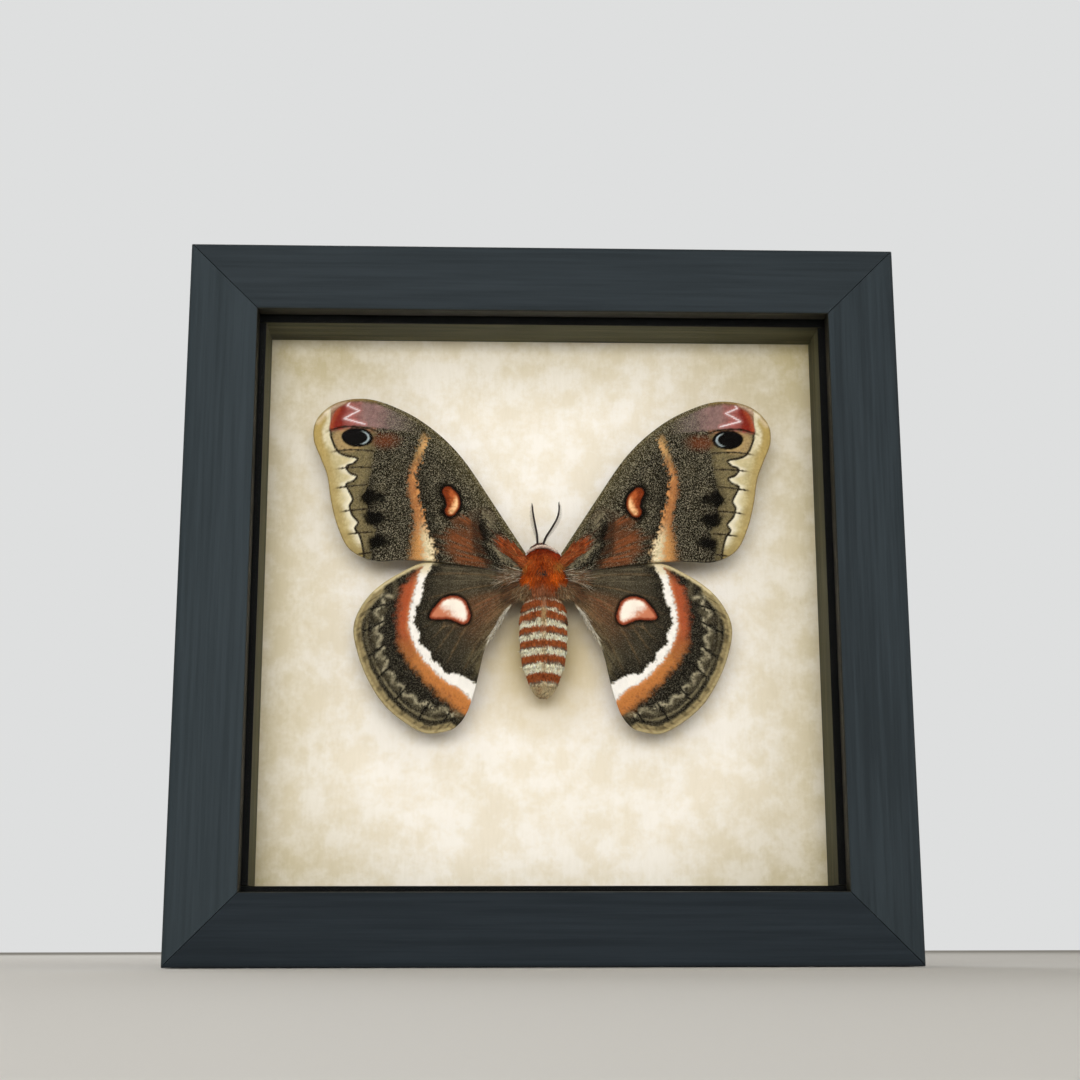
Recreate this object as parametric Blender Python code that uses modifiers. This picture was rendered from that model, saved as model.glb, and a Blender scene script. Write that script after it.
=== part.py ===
"""A spread cecropia moth, pinned in a glazed wooden shadow box that stands on a table.

Metres, +Z up. The origin is on the table, under the middle of the box. The box faces -Y, and the moth's back
faces the glass, head up. Depths are measured from the front face of the rails towards +Y.
"""

import math

import bmesh
import bpy
from mathutils import Matrix, Vector
from mathutils.geometry import delaunay_2d_cdt

MM = 0.001
GAP = 0.3 * MM

# Shadow box
BOX = 241.3 * MM
DEPTH = 38.0 * MM
RAIL_FACE = 23.4 * MM
LIP_DEPTH = 6.0 * MM
RABBET = 8.0 * MM
OUTER_ROUND = 1.6 * MM
LIP_ROUND = 0.7 * MM
BACK_CHAMFER = 0.6 * MM
GLASS_THICK = 2.0 * MM
SPACER_END = 27.0 * MM
SPACER_PROUD = 2.0 * MM
PARCHMENT_THICK = 0.5 * MM
BOARD_THICK = 4.0 * MM
BACK_THICK = 3.0 * MM

# Fixings on the back
POINT_LONG = 15.0 * MM
POINT_WIDE = 9.0 * MM
POINT_THICK = 0.6 * MM
HANGER_WIDE = 46.0 * MM
HANGER_HIGH = 9.0 * MM
HANGER_THICK = 1.0 * MM
HANGER_TEETH = 9

# Moth: places are millimetres out from the body's middle line and up from the wings' root line
WING_ROOT_Z = 130.0 * MM
WING_DEPTH = 13.7 * MM
HINDWING_BEHIND = 1.5 * MM
WING_RISE = 0.8 * MM
WING_DROOP = 1.0 * MM
HALF_SPAN = 78.6 * MM
MEMBRANE = 0.5 * MM
VEIN_THICK = 1.0 * MM
VEIN_HALF_WIDTH = 0.55 * MM
VEIN_FADE = 2.5 * MM
WING_CELL = 6.0 * MM

FOREWING_OUTLINE = [
    (6.0, 6.1), (17.7, 24.2), (28.5, 40.1), (39.4, 50.5), (50.3, 56.9), (61.1, 60.2), (71.3, 58.7),
    (77.6, 53.1), (78.6, 46.1), (76.0, 39.1), (73.6, 32.8), (72.1, 24.0), (69.7, 15.2), (65.5, 7.3),
    (57.4, 3.3), (46.6, 3.4), (33.0, 2.5), (19.0, 0.6), (6.0, -1.2),
]
FOREWING_VEINS = [
    [(7.0, 5.2), (17.8, 21.8), (29.0, 37.8), (40.5, 48.3), (52.0, 54.6), (60.0, 57.0)],
    [(7.0, 4.2), (18.0, 18.6), (30.0, 31.0), (44.0, 43.5), (58.0, 51.5), (69.0, 56.0)],
    [(30.0, 31.0), (45.0, 39.5), (60.0, 45.8), (75.5, 49.8)],
    [(30.0, 31.0), (33.5, 28.6), (48.0, 35.0), (62.0, 39.8), (75.5, 42.2)],
    [(33.5, 28.6), (34.0, 25.0), (48.0, 29.8), (61.0, 33.3), (72.5, 34.8)],
    [(34.0, 25.0), (32.5, 21.2), (46.0, 25.0), (59.0, 27.3), (70.8, 28.0)],
    [(7.0, 3.0), (19.0, 11.2), (30.5, 18.2), (45.0, 19.6), (58.0, 20.0), (69.2, 20.0)],
    [(30.5, 18.2), (32.5, 21.2)],
    [(19.0, 11.2), (33.0, 12.6), (47.0, 12.8), (58.0, 12.4), (67.0, 11.8)],
    [(7.0, 1.4), (20.0, 4.6), (35.0, 6.8), (50.0, 6.8), (61.5, 6.4)],
]
HINDWING_OUTLINE = [
    (6.5, -1.6), (24.0, 1.6), (38.5, 3.2), (48.0, -0.5), (56.5, -6.2), (61.7, -13.0), (63.7, -20.0),
    (62.0, -28.5), (58.6, -36.8), (53.3, -45.0), (46.4, -51.0), (39.0, -54.7), (31.3, -53.8),
    (26.8, -48.6), (23.7, -41.3), (21.6, -34.7), (19.7, -27.0), (15.6, -19.1), (9.8, -10.2),
    (6.5, -5.6),
]
HINDWING_VEINS = [
    [(7.5, -2.8), (24.0, -1.0), (38.0, -1.2), (48.0, -3.8), (54.5, -7.4)],
    [(7.5, -3.4), (22.0, -5.4), (34.0, -8.2), (47.0, -11.6), (60.0, -14.8)],
    [(34.0, -8.2), (36.0, -12.4), (48.0, -17.0), (61.5, -22.4)],
    [(36.0, -12.4), (35.5, -16.0), (47.0, -23.0), (59.8, -30.5)],
    [(35.5, -16.0), (33.5, -19.0), (43.0, -28.0), (55.8, -38.2)],
    [(7.5, -4.0), (20.0, -10.2), (29.0, -17.6), (33.5, -19.0)],
    [(29.0, -17.6), (37.5, -29.5), (49.0, -45.2)],
    [(20.0, -10.2), (27.0, -21.0), (33.5, -34.0), (41.0, -50.2)],
    [(7.5, -4.8), (17.5, -16.0), (24.0, -28.0), (29.0, -40.0), (32.5, -50.6)],
]

# Body profiles: radius against height, as turned shapes pressed flatter from back to belly
THORAX_DEPTH = 16.0 * MM
THORAX_FLAT = 0.72
THORAX_PROFILE = [
    (0.0, 138.3), (2.6, 138.1), (4.7, 137.2), (6.3, 135.4), (7.5, 132.6), (8.3, 129.2), (8.3, 126.0),
    (7.8, 123.6), (6.9, 122.3), (0.0, 122.2),
]
ABDOMEN_DEPTH = 16.2 * MM
ABDOMEN_FLAT = 0.76
ABDOMEN_TOP = 121.9
ABDOMEN_TIP = 86.0
ABDOMEN_WIDEST = 8.2
SEGMENT_REAR_EDGES = [117.0, 113.0, 107.9, 103.1, 97.7, 91.6]
SEGMENT_STEP = 0.03

HEAD_X = -0.9 * MM
HEAD_Z = 138.0 * MM
HEAD_DEPTH = 18.4 * MM
HEAD_RADIUS = 2.9 * MM
EYE_RADIUS = 1.35 * MM
PALP_LONG = 2.4 * MM

ANTENNA_ROOT_DEPTH = 16.8 * MM
ANTENNA_TIP_DEPTH = 14.5 * MM
ANTENNA_ROOT_THICK = 0.85 * MM
ANTENNA_TIP_THICK = 0.5 * MM
ANTENNA_PATHS = {
    "left": [(-1.9, 140.25), (-2.1, 143.2), (-2.9, 147.4), (-3.5, 150.8), (-3.8, 153.7)],
    "right": [(0.1, 140.25), (1.0, 142.4), (3.0, 145.6), (4.7, 148.7), (5.4, 151.5), (5.3, 154.2)],
}
COMB_LONG = 1.5 * MM
COMB_ROOT = 0.56 * MM
COMB_TIP = 0.16 * MM
COMB_PITCH = 0.95 * MM

LEG_ROOTS_Z = {"front": 133.0, "middle": 129.4, "hind": 125.8}

# Long hair of the thorax, as flat tapering locks
LOCK_WIDE = 3.1 * MM
LOCK_THICK = 0.8 * MM
LOCK_SUNK = 1.2 * MM
COLLAR_ROW = {"z": 134.8, "angles": (-62, -42, -21, 0, 21, 42, 62), "long": 4.3, "lift": 0.5}
BACK_ROWS = [
    {"z": 136.4, "angles": (-46, -16, 16, 46), "long": 4.6, "lift": 0.6},
    {"z": 134.2, "angles": (-34, -11, 11, 34), "long": 6.2, "lift": 0.75},
    {"z": 131.8, "angles": (-48, -24, 0, 24, 48), "long": 6.2, "lift": 0.75},
    {"z": 129.2, "angles": (-36, 36), "long": 6.4, "lift": 0.8},
    {"z": 126.6, "angles": (-50, -26, -9, 9, 26, 50), "long": 6.6, "lift": 0.8},
    {"z": 124.6, "angles": (-38, -17, 0, 17, 38), "long": 6.6, "lift": 0.95},
]
BELLY_ROWS = [
    {"z": 134.2, "angles": (104, 128, 232, 256), "long": 5.2, "lift": 0.45},
    {"z": 130.8, "angles": (98, 120, 240, 262), "long": 5.4, "lift": 0.45},
    {"z": 127.4, "angles": (104, 128, 232, 256), "long": 5.2, "lift": 0.45},
]
FLANK_ROW_Z = (135.0, 133.0, 131.0, 129.0, 127.0, 125.0)
TAIL_TUFT_LOCKS = 8

PIN_RADIUS = 0.35 * MM
PIN_Z = 127.9 * MM
PIN_FRONT = 9.4 * MM
PIN_END = 30.5 * MM


def at_depth(depth):
    """The y of a depth behind the rails' front face, with the origin under the middle of the whole box."""
    return depth - (DEPTH + GAP + HANGER_THICK) / 2


def remove_everything():
    for obj in list(bpy.data.objects):
        bpy.data.objects.remove(obj, do_unlink=True)
    parts = bpy.data.collections.new("cecropia_moth_shadow_box")
    cutters = bpy.data.collections.new("cutters")
    bpy.context.scene.collection.children.link(parts)
    bpy.context.scene.collection.children.link(cutters)
    return parts, cutters


PARTS, CUTTERS = remove_everything()


def material(name, colour, roughness, metallic=0.0):
    found = bpy.data.materials.get(name)
    if found:
        return found
    made = bpy.data.materials.new(name)
    made.use_nodes = True
    shader = made.node_tree.nodes["Principled BSDF"]
    shader.inputs["Base Color"].default_value = (*colour, 1.0)
    shader.inputs["Roughness"].default_value = roughness
    shader.inputs["Metallic"].default_value = metallic
    return made


PAINT = material("navy_painted_wood", (0.034, 0.046, 0.061), 0.5)
SPACER_WOOD = material("dark_stained_wood", (0.045, 0.043, 0.028), 0.7)
GLAZING = material("picture_glass", (0.9, 0.93, 0.92), 0.05)
PAPER = material("mottled_parchment", (0.78, 0.71, 0.56), 0.9)
FOAM_BOARD = material("white_foam_board", (0.85, 0.85, 0.82), 0.8)
HARDBOARD = material("brown_hardboard", (0.22, 0.12, 0.06), 0.7)
STEEL = material("zinc_plated_steel", (0.55, 0.56, 0.57), 0.35, 1.0)
BRASS = material("brass_plate", (0.72, 0.52, 0.24), 0.35, 1.0)
FOREWING_SCALES = material("grey_brown_forewing_scales", (0.09, 0.075, 0.055), 0.85)
HINDWING_SCALES = material("brown_hindwing_scales", (0.07, 0.05, 0.038), 0.85)
THORAX_HAIR = material("rust_red_thorax_hair", (0.42, 0.10, 0.03), 0.9)
ABDOMEN_HAIR = material("banded_abdomen_hair", (0.48, 0.2, 0.09), 0.9)
HEAD_HAIR = material("red_brown_head_hair", (0.25, 0.05, 0.02), 0.9)
EYE = material("black_compound_eye", (0.01, 0.008, 0.006), 0.25)
HORN = material("dark_brown_chitin", (0.02, 0.014, 0.01), 0.5)


def mesh_object(name, mesh, finish, collection=None):
    obj = bpy.data.objects.new(name, mesh)
    (collection or PARTS).objects.link(obj)
    if not mesh.materials:
        mesh.materials.append(finish)
    return obj


def from_bmesh(name, bm, finish, smooth=False, collection=None):
    bmesh.ops.recalc_face_normals(bm, faces=bm.faces)
    mesh = bpy.data.meshes.new(name)
    bm.to_mesh(mesh)
    bm.free()
    if smooth:
        mesh.shade_smooth()
        mesh.set_sharp_from_angle(angle=math.radians(40))
    return mesh_object(name, mesh, finish, collection)


def box(name, low, high, finish, collection=None):
    """A box from its lowest to its highest corner."""
    bm = bmesh.new()
    bmesh.ops.create_cube(bm, size=1.0)
    low, high = Vector(low), Vector(high)
    for vert in bm.verts:
        vert.co = Vector((low[i] + (vert.co[i] + 0.5) * (high[i] - low[i]) for i in range(3)))
    return from_bmesh(name, bm, finish, collection=collection)


def as_cutter(obj):
    obj.hide_render = True
    obj.display_type = "WIRE"
    return obj


def cut(obj, cutter):
    """Takes the cutter's volume out of the object."""
    tool = obj.modifiers.new("cut_" + cutter.name, "BOOLEAN")
    tool.operation = "DIFFERENCE"
    tool.object = cutter
    tool.solver = "EXACT"


def evaluated_mesh(obj):
    graph = bpy.context.evaluated_depsgraph_get()
    return bpy.data.meshes.new_from_object(obj.evaluated_get(graph))


def apply_modifiers(obj):
    mesh = evaluated_mesh(obj)
    obj.modifiers.clear()
    obj.data = mesh
    return obj


def largest_shell(obj):
    """Keeps the closed surface with the biggest box."""
    bm = bmesh.new()
    bm.from_mesh(obj.data)
    left = set(bm.verts)
    shells = []
    while left:
        shell, edge = set(), [left.pop()]
        while edge:
            vert = edge.pop()
            shell.add(vert)
            near = {e.other_vert(vert) for e in vert.link_edges} & left
            left -= near
            edge += near
        size = [max(v.co[i] for v in shell) - min(v.co[i] for v in shell) for i in range(3)]
        shells.append((sum(size), len(shells), shell))
    keep = max(shells)[2]
    bmesh.ops.delete(bm, geom=[v for v in bm.verts if v not in keep], context="VERTS")
    bm.to_mesh(obj.data)
    bm.free()


def fuse(obj, pieces):
    """Joins closed pieces, their roots sunk in, to the object as one closed body."""
    group = bpy.data.collections.new("fused_to_" + obj.name)
    bpy.context.scene.collection.children.link(group)
    for piece in pieces:
        PARTS.objects.unlink(piece)
        group.objects.link(piece)
    join = obj.modifiers.new("fuse", "BOOLEAN")
    join.operation = "UNION"
    join.operand_type = "COLLECTION"
    join.collection = group
    join.solver = "EXACT"
    apply_modifiers(obj)
    for piece in pieces:
        bpy.data.objects.remove(piece, do_unlink=True)
    bpy.data.collections.remove(group)
    largest_shell(obj)
    return obj


def flat_lock(name, root, middle, tip, facing, wide, thick, finish):
    """A lock of hair from root to tip: flat, widest past its root, tapering to a fine end."""
    bm = bmesh.new()
    rings = []
    for share, width, depth in ((0.0, 0.75, 1.0), (0.35, 1.0, 0.9), (0.72, 0.7, 0.65)):
        spot = root * (1 - share) ** 2 + middle * 2 * share * (1 - share) + tip * share ** 2
        run = ((middle - root) * (1 - share) + (tip - middle) * share).normalized()
        across = run.cross(facing).normalized()
        up = across.cross(run).normalized()
        sides = (across * wide * width / 2, up * thick * depth / 2)
        rings.append([bm.verts.new(spot + sides[k % 2] * (1 if k < 2 else -1)) for k in range(4)])
    for near, far in zip(rings, rings[1:]):
        for k in range(4):
            bm.faces.new((near[k], near[(k + 1) % 4], far[(k + 1) % 4], far[k]))
    end = bm.verts.new(tip)
    for k in range(4):
        bm.faces.new((rings[-1][k], rings[-1][(k + 1) % 4], end))
    bm.faces.new(rings[0][::-1])
    bmesh.ops.triangulate(bm, faces=bm.faces)
    return from_bmesh(name, bm, finish)


def curve_to_mesh(obj, finish, collection=None):
    """Turns a curve into a closed mesh, with its end caps welded on."""
    mesh = evaluated_mesh(obj)
    bm = bmesh.new()
    bm.from_mesh(mesh)
    bmesh.ops.remove_doubles(bm, verts=bm.verts, dist=0.00001)
    name = obj.name
    bpy.data.objects.remove(obj, do_unlink=True)
    made = from_bmesh(name, bm, finish, smooth=True, collection=collection)
    made.name = name
    return made


def tube(name, points, radii, finish, sides_level=2, collection=None):
    """A round tapering wire through the points, with flat ends."""
    curve = bpy.data.curves.new(name, "CURVE")
    curve.dimensions = "3D"
    curve.bevel_depth = 1.0
    curve.bevel_resolution = sides_level
    curve.use_fill_caps = True
    spline = curve.splines.new("POLY")
    spline.points.add(len(points) - 1)
    for spot, point, radius in zip(spline.points, points, radii):
        spot.co = (*point, 1.0)
        spot.radius = radius
    obj = bpy.data.objects.new(name, curve)
    (collection or PARTS).objects.link(obj)
    return curve_to_mesh(obj, finish, collection)


def smooth_line(points, step):
    """Points about one step apart on a Catmull-Rom curve through the given ones."""
    points = [Vector(p) for p in points]
    out = [points[0]]
    for i in range(len(points) - 1):
        p0 = points[max(i - 1, 0)]
        p1 = points[i]
        p2 = points[i + 1]
        p3 = points[min(i + 2, len(points) - 1)]
        count = max(1, round((p2 - p1).length / step))
        for k in range(1, count + 1):
            t = k / count
            out.append(
                0.5 * (2 * p1 + (p2 - p0) * t + (2 * p0 - 5 * p1 + 4 * p2 - p3) * t ** 2
                       + (3 * p1 - 3 * p2 + p3 - p0) * t ** 3)
            )
    return out


# Shadow box


def rounded(centre, radius, start, end, steps):
    """Points of an arc in (inward, depth) from one angle to another, in degrees."""
    angles = [math.radians(start + (end - start) * i / steps) for i in range(steps + 1)]
    return [(centre[0] + radius * math.cos(a), centre[1] + radius * math.sin(a)) for a in angles]


def rail(name, turn):
    """One mitred rail: an L section with rounded front edges, drawn out and cut at 45 degrees."""
    wall = RAIL_FACE - RABBET
    section = [(BACK_CHAMFER, DEPTH), (0.0, DEPTH - BACK_CHAMFER)]
    section += rounded((OUTER_ROUND, OUTER_ROUND), OUTER_ROUND, 180, 270, 4)
    section += rounded((RAIL_FACE - LIP_ROUND, LIP_ROUND), LIP_ROUND, 270, 360, 2)
    section += [(RAIL_FACE, LIP_DEPTH), (wall, LIP_DEPTH), (wall, DEPTH)]
    bm = bmesh.new()
    ring = [bm.verts.new((0.0, at_depth(d), w)) for w, d in section]
    drawn = bmesh.ops.extrude_face_region(bm, geom=[bm.faces.new(ring)])
    far_end = {v for v in drawn["geom"] if isinstance(v, bmesh.types.BMVert)}
    for vert in bm.verts:
        mitre = BOX / 2 - vert.co.z - GAP / 2
        vert.co.x = mitre if vert in far_end else -mitre
        vert.co.z -= BOX / 2
    bmesh.ops.rotate(bm, verts=bm.verts, matrix=Matrix.Rotation(turn, 3, "Y"))
    bmesh.ops.translate(bm, verts=bm.verts, vec=(0.0, 0.0, BOX / 2))
    return from_bmesh(name, bm, PAINT)


def panel(name, front, thick, finish):
    """A square sheet in the rabbet, a gap clear of the rails."""
    half = BOX / 2 - (RAIL_FACE - RABBET) - GAP
    low = (-half, at_depth(front), BOX / 2 - half)
    high = (half, at_depth(front + thick), BOX / 2 + half)
    return box(name, low, high, finish)


def spacers():
    """Four strips that hold the glass forward; the upright pair stands between the other two."""
    outer = BOX / 2 - (RAIL_FACE - RABBET) - GAP
    inner = BOX / 2 - RAIL_FACE - SPACER_PROUD
    front = at_depth(LIP_DEPTH + GAP + GLASS_THICK + GAP)
    back = at_depth(SPACER_END)
    middle = BOX / 2
    for name, sign in (("spacer_top", 1), ("spacer_bottom", -1)):
        heights = sorted((middle + sign * inner, middle + sign * outer))
        box(name, (-outer, front, heights[0]), (outer, back, heights[1]), SPACER_WOOD)
    for name, sign in (("spacer_left", -1), ("spacer_right", 1)):
        sides = sorted((sign * inner, sign * outer))
        reach = inner - GAP
        box(name, (sides[0], front, middle - reach), (sides[1], back, middle + reach), SPACER_WOOD)


def glazing_point(name, side, along):
    """A flat steel point pushed into the rail's wall, its free end turned up off the back panel."""
    wall = BOX / 2 - (RAIL_FACE - RABBET) - GAP
    back = SPACER_END + GAP + PARCHMENT_THICK + GAP + BOARD_THICK + GAP + BACK_THICK + GAP
    lift = 0.9 * MM
    route = [(0.0, 0.0), (0.55, 0.0), (0.8, 0.35), (1.0, 1.0)]
    bm = bmesh.new()
    rows = []
    for share, raised in route:
        half = POINT_WIDE / 2 * (1.0 - 0.35 * share)
        inward = wall - share * POINT_LONG
        depth = at_depth(back + raised * lift)
        rows.append([
            bm.verts.new((-half, depth, -inward)),
            bm.verts.new((half, depth, -inward)),
            bm.verts.new((half, depth + POINT_THICK, -inward)),
            bm.verts.new((-half, depth + POINT_THICK, -inward)),
        ])
    for near, far in zip(rows, rows[1:]):
        for i in range(4):
            bm.faces.new((near[i], near[(i + 1) % 4], far[(i + 1) % 4], far[i]))
    bm.faces.new(rows[0])
    bm.faces.new(rows[-1])
    bmesh.ops.translate(bm, verts=bm.verts, vec=(along, 0.0, 0.0))
    bmesh.ops.rotate(bm, verts=bm.verts, matrix=Matrix.Rotation(side * math.pi / 2, 3, "Y"))
    bmesh.ops.translate(bm, verts=bm.verts, vec=(0.0, 0.0, BOX / 2))
    bmesh.ops.triangulate(bm, faces=bm.faces)
    return from_bmesh(name, bm, STEEL)


def hanger():
    """A toothed brass strip across the back of the top rail, with a dip bent into its middle."""
    top = BOX - 3.2 * MM
    low = top - HANGER_HIGH
    front = DEPTH + GAP
    half = HANGER_WIDE / 2
    tooth = 2 * half * 0.6 / HANGER_TEETH
    outline = [(-half, low + 2 * MM), (-half, top - 1 * MM), (-half + 1 * MM, top), (half - 1 * MM, top)]
    outline += [(half, top - 1 * MM), (half, low + 2 * MM), (half * 0.6 + 1 * MM, low + 2 * MM)]
    for i in range(HANGER_TEETH):
        x = half * 0.6 - i * tooth
        outline += [(x, low), (x - tooth / 2, low + 1.3 * MM)]
    outline += [(-half * 0.6, low), (-half * 0.6 - 1 * MM, low + 2 * MM)]
    bm = bmesh.new()
    face = bm.faces.new([bm.verts.new((x, at_depth(front), z)) for x, z in outline])
    drawn = bmesh.ops.extrude_face_region(bm, geom=[face])
    moved = [v for v in drawn["geom"] if isinstance(v, bmesh.types.BMVert)]
    bmesh.ops.translate(bm, verts=moved, vec=(0.0, HANGER_THICK, 0.0))
    bmesh.ops.triangulate(bm, faces=bm.faces)
    return from_bmesh("hanger", bm, BRASS)


def pin_hole(reach):
    """A cutter round the pin, a gap wider than it on every side."""
    bm = bmesh.new()
    near, far = reach
    bmesh.ops.create_cone(
        bm, segments=10, radius1=PIN_RADIUS + GAP, radius2=PIN_RADIUS + GAP, depth=far - near,
        cap_ends=True, matrix=Matrix.Rotation(math.pi / 2, 4, "X"),
    )
    bmesh.ops.translate(bm, verts=bm.verts, vec=(0.0, at_depth((near + far) / 2), PIN_Z))
    return as_cutter(from_bmesh("pin_hole", bm, STEEL, collection=CUTTERS))


def shadow_box():
    for i, side in enumerate(("bottom", "left", "top", "right")):
        rail("rail_" + side, i * math.pi / 2)
    panel("glass", LIP_DEPTH + GAP, GLASS_THICK, GLAZING)
    spacers()
    bore = pin_hole((SPACER_END - 1 * MM, PIN_END + GAP))
    paper_front = SPACER_END + GAP
    board_front = paper_front + PARCHMENT_THICK + GAP
    cut(panel("parchment", paper_front, PARCHMENT_THICK, PAPER), bore)
    cut(panel("mounting_board", board_front, BOARD_THICK, FOAM_BOARD), bore)
    panel("back_panel", board_front + BOARD_THICK + GAP, BACK_THICK, HARDBOARD)
    for side in range(4):
        for k, share in enumerate((-0.5, 0.5)):
            glazing_point(f"glazing_point_{2 * side + k + 1}", side, share * BOX / 2)
    hanger()


# Wings


def wing_depth(x, z):
    """Depth of the forewing's middle surface: raised along mid-span, drooping back at the tip."""
    out = min(abs(x) / HALF_SPAN, 1.0)
    return WING_DEPTH - WING_RISE * math.sin(math.pi * out) + WING_DROOP * out ** 3


def distance_to_line(point, line):
    best = 1.0
    for a, b in zip(line, line[1:]):
        run = b - a
        share = max(0.0, min(1.0, (point - a).dot(run) / max(run.length_squared, 1e-12)))
        best = min(best, (a + run * share - point).length)
    return best


def beside(line, offset):
    """The line moved sideways by the offset."""
    out = []
    for i, point in enumerate(line):
        run = (line[min(i + 1, len(line) - 1)] - line[max(i - 1, 0)]).normalized()
        out.append(point + Vector((-run.y, run.x)) * offset)
    return out


def inside(point, outline):
    odd = False
    for a, b in zip(outline, outline[1:] + outline[:1]):
        if (a.y > point.y) != (b.y > point.y):
            if point.x < a.x + (point.y - a.y) * (b.x - a.x) / (b.y - a.y):
                odd = not odd
    return odd


def wing_plan(outline, veins):
    """Points and triangles of a flat wing, with an edge along every vein and along both its feet."""
    rim = smooth_line([Vector(p) * MM for p in outline], 3.0 * MM)
    lines = [smooth_line([Vector(p) * MM for p in vein], 5.0 * MM) for vein in veins]
    points = list(rim)
    edges = []
    for line in lines:
        for offset in (-VEIN_HALF_WIDTH, 0.0, VEIN_HALF_WIDTH):
            kept = [p for p in beside(line, offset) if inside(p, rim) and
                    distance_to_line(p, rim + rim[:1]) > 0.5 * MM]
            edges += [(len(points) + i, len(points) + i + 1) for i in range(len(kept) - 1)]
            points += kept
    low = Vector((min(p.x for p in rim), min(p.y for p in rim)))
    high = Vector((max(p.x for p in rim), max(p.y for p in rim)))
    for i in range(int((high.x - low.x) / WING_CELL) + 1):
        for k in range(int((high.y - low.y) / WING_CELL) + 1):
            spot = low + Vector((i + 0.5 * (k % 2), k)) * WING_CELL
            if not inside(spot, rim) or distance_to_line(spot, rim + rim[:1]) < 0.45 * WING_CELL:
                continue
            if min(distance_to_line(spot, line) for line in lines) > 0.45 * WING_CELL:
                points.append(spot)
    plan = delaunay_2d_cdt(points, edges, [list(range(len(rim)))], 1, 1e-6)
    return plan[0], plan[2], lines, rim


def wing(name, plan, side, behind, finish):
    """A membrane of even thickness, thicker along its veins, which fade before the rim."""
    spots, triangles, lines, rim = plan
    mesh = bpy.data.meshes.new(name)
    verts = [(side * p.x, at_depth(wing_depth(p.x, p.y) + behind), WING_ROOT_Z + p.y) for p in spots]
    mesh.from_pydata(verts, [], [t if side < 0 else t[::-1] for t in triangles])
    obj = mesh_object(name, mesh, finish)
    group = obj.vertex_groups.new(name="thickness")
    thin = MEMBRANE / VEIN_THICK
    for i, spot in enumerate(spots):
        crest = max(0.0, 1.0 - min(distance_to_line(spot, line) for line in lines) / VEIN_HALF_WIDTH)
        crest *= min(1.0, distance_to_line(spot, rim + rim[:1]) / VEIN_FADE)
        group.add([i], thin + (1.0 - thin) * crest, "REPLACE")
    solid = obj.modifiers.new("membrane", "SOLIDIFY")
    solid.thickness = VEIN_THICK
    solid.offset = 0.0
    solid.vertex_group = group.name
    solid.use_even_offset = False
    return obj


# Body


def turned(name, profile, flat, depth, finish, sides=24, collection=None, grow=0.0):
    """A profile turned about the body's axis, then pressed flatter from front to back."""
    mesh = bpy.data.meshes.new(name)
    verts = [((r + grow) * MM if 0 < i < len(profile) - 1 else 0.0, 0.0, z * MM)
             for i, (r, z) in enumerate(profile)]
    mesh.from_pydata(verts, [(i, i + 1) for i in range(len(verts) - 1)], [])
    obj = mesh_object(name, mesh, finish, collection)
    screw = obj.modifiers.new("turn", "SCREW")
    screw.steps = sides
    screw.render_steps = sides
    screw.use_merge_vertices = True
    screw.merge_threshold = 0.00001
    screw.use_smooth_shade = True
    apply_modifiers(obj)
    for vert in obj.data.vertices:
        vert.co.y = vert.co.y * flat + at_depth(depth)
    return obj


def abdomen_profile():
    """Seven segments, each a little fuller at its rear edge than the next one's front."""
    rear_edges = SEGMENT_REAR_EDGES + [ABDOMEN_TIP]

    def envelope(z):
        down = (ABDOMEN_TOP - z) / (ABDOMEN_TOP - ABDOMEN_TIP)
        front = 0.7 + 0.3 * math.sin(min(down / 0.26, 1.0) * math.pi / 2)
        rear = max(0.0, 1.0 - max(0.0, (down - 0.3) / 0.7) ** 2.5) ** 0.54
        return ABDOMEN_WIDEST * front * rear

    profile = [(0.0, ABDOMEN_TOP)]
    start = ABDOMEN_TOP
    for end in rear_edges:
        for share, scale in ((0.0, 1.0 - SEGMENT_STEP), (0.5, 1.0), (0.92, 1.0)):
            z = start + (end - start) * share
            profile.append((envelope(z) * scale, z))
        start = end
    profile.append((0.0, ABDOMEN_TIP))
    return profile


def ball(name, centre, radius, finish, segments=16, rings=10, squash=(1, 1, 1), collection=None):
    bm = bmesh.new()
    bmesh.ops.create_uvsphere(bm, u_segments=segments, v_segments=rings, radius=radius)
    for vert in bm.verts:
        vert.co = Vector((vert.co[i] * squash[i] + centre[i] for i in range(3)))
    return from_bmesh(name, bm, finish, smooth=True, collection=collection)


def body_spot(profile, depth, flat, angle, z):
    """A point on a turned body and the outward direction there; 0 degrees faces the glass."""
    rows = profile[1:-1]
    for (r0, z0), (r1, z1) in zip(rows, rows[1:]):
        if z1 <= z <= z0:
            share = (z0 - z) / (z0 - z1)
            radius = r0 + (r1 - r0) * share
            slope = (r1 - r0) / (z0 - z1)
            break
    turn = math.radians(angle)
    spot = Vector((radius * math.sin(turn) * MM, at_depth(depth) - radius * math.cos(turn) * flat * MM, z * MM))
    out = Vector((math.sin(turn), -math.cos(turn) / flat, slope)).normalized()
    return spot, out


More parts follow.
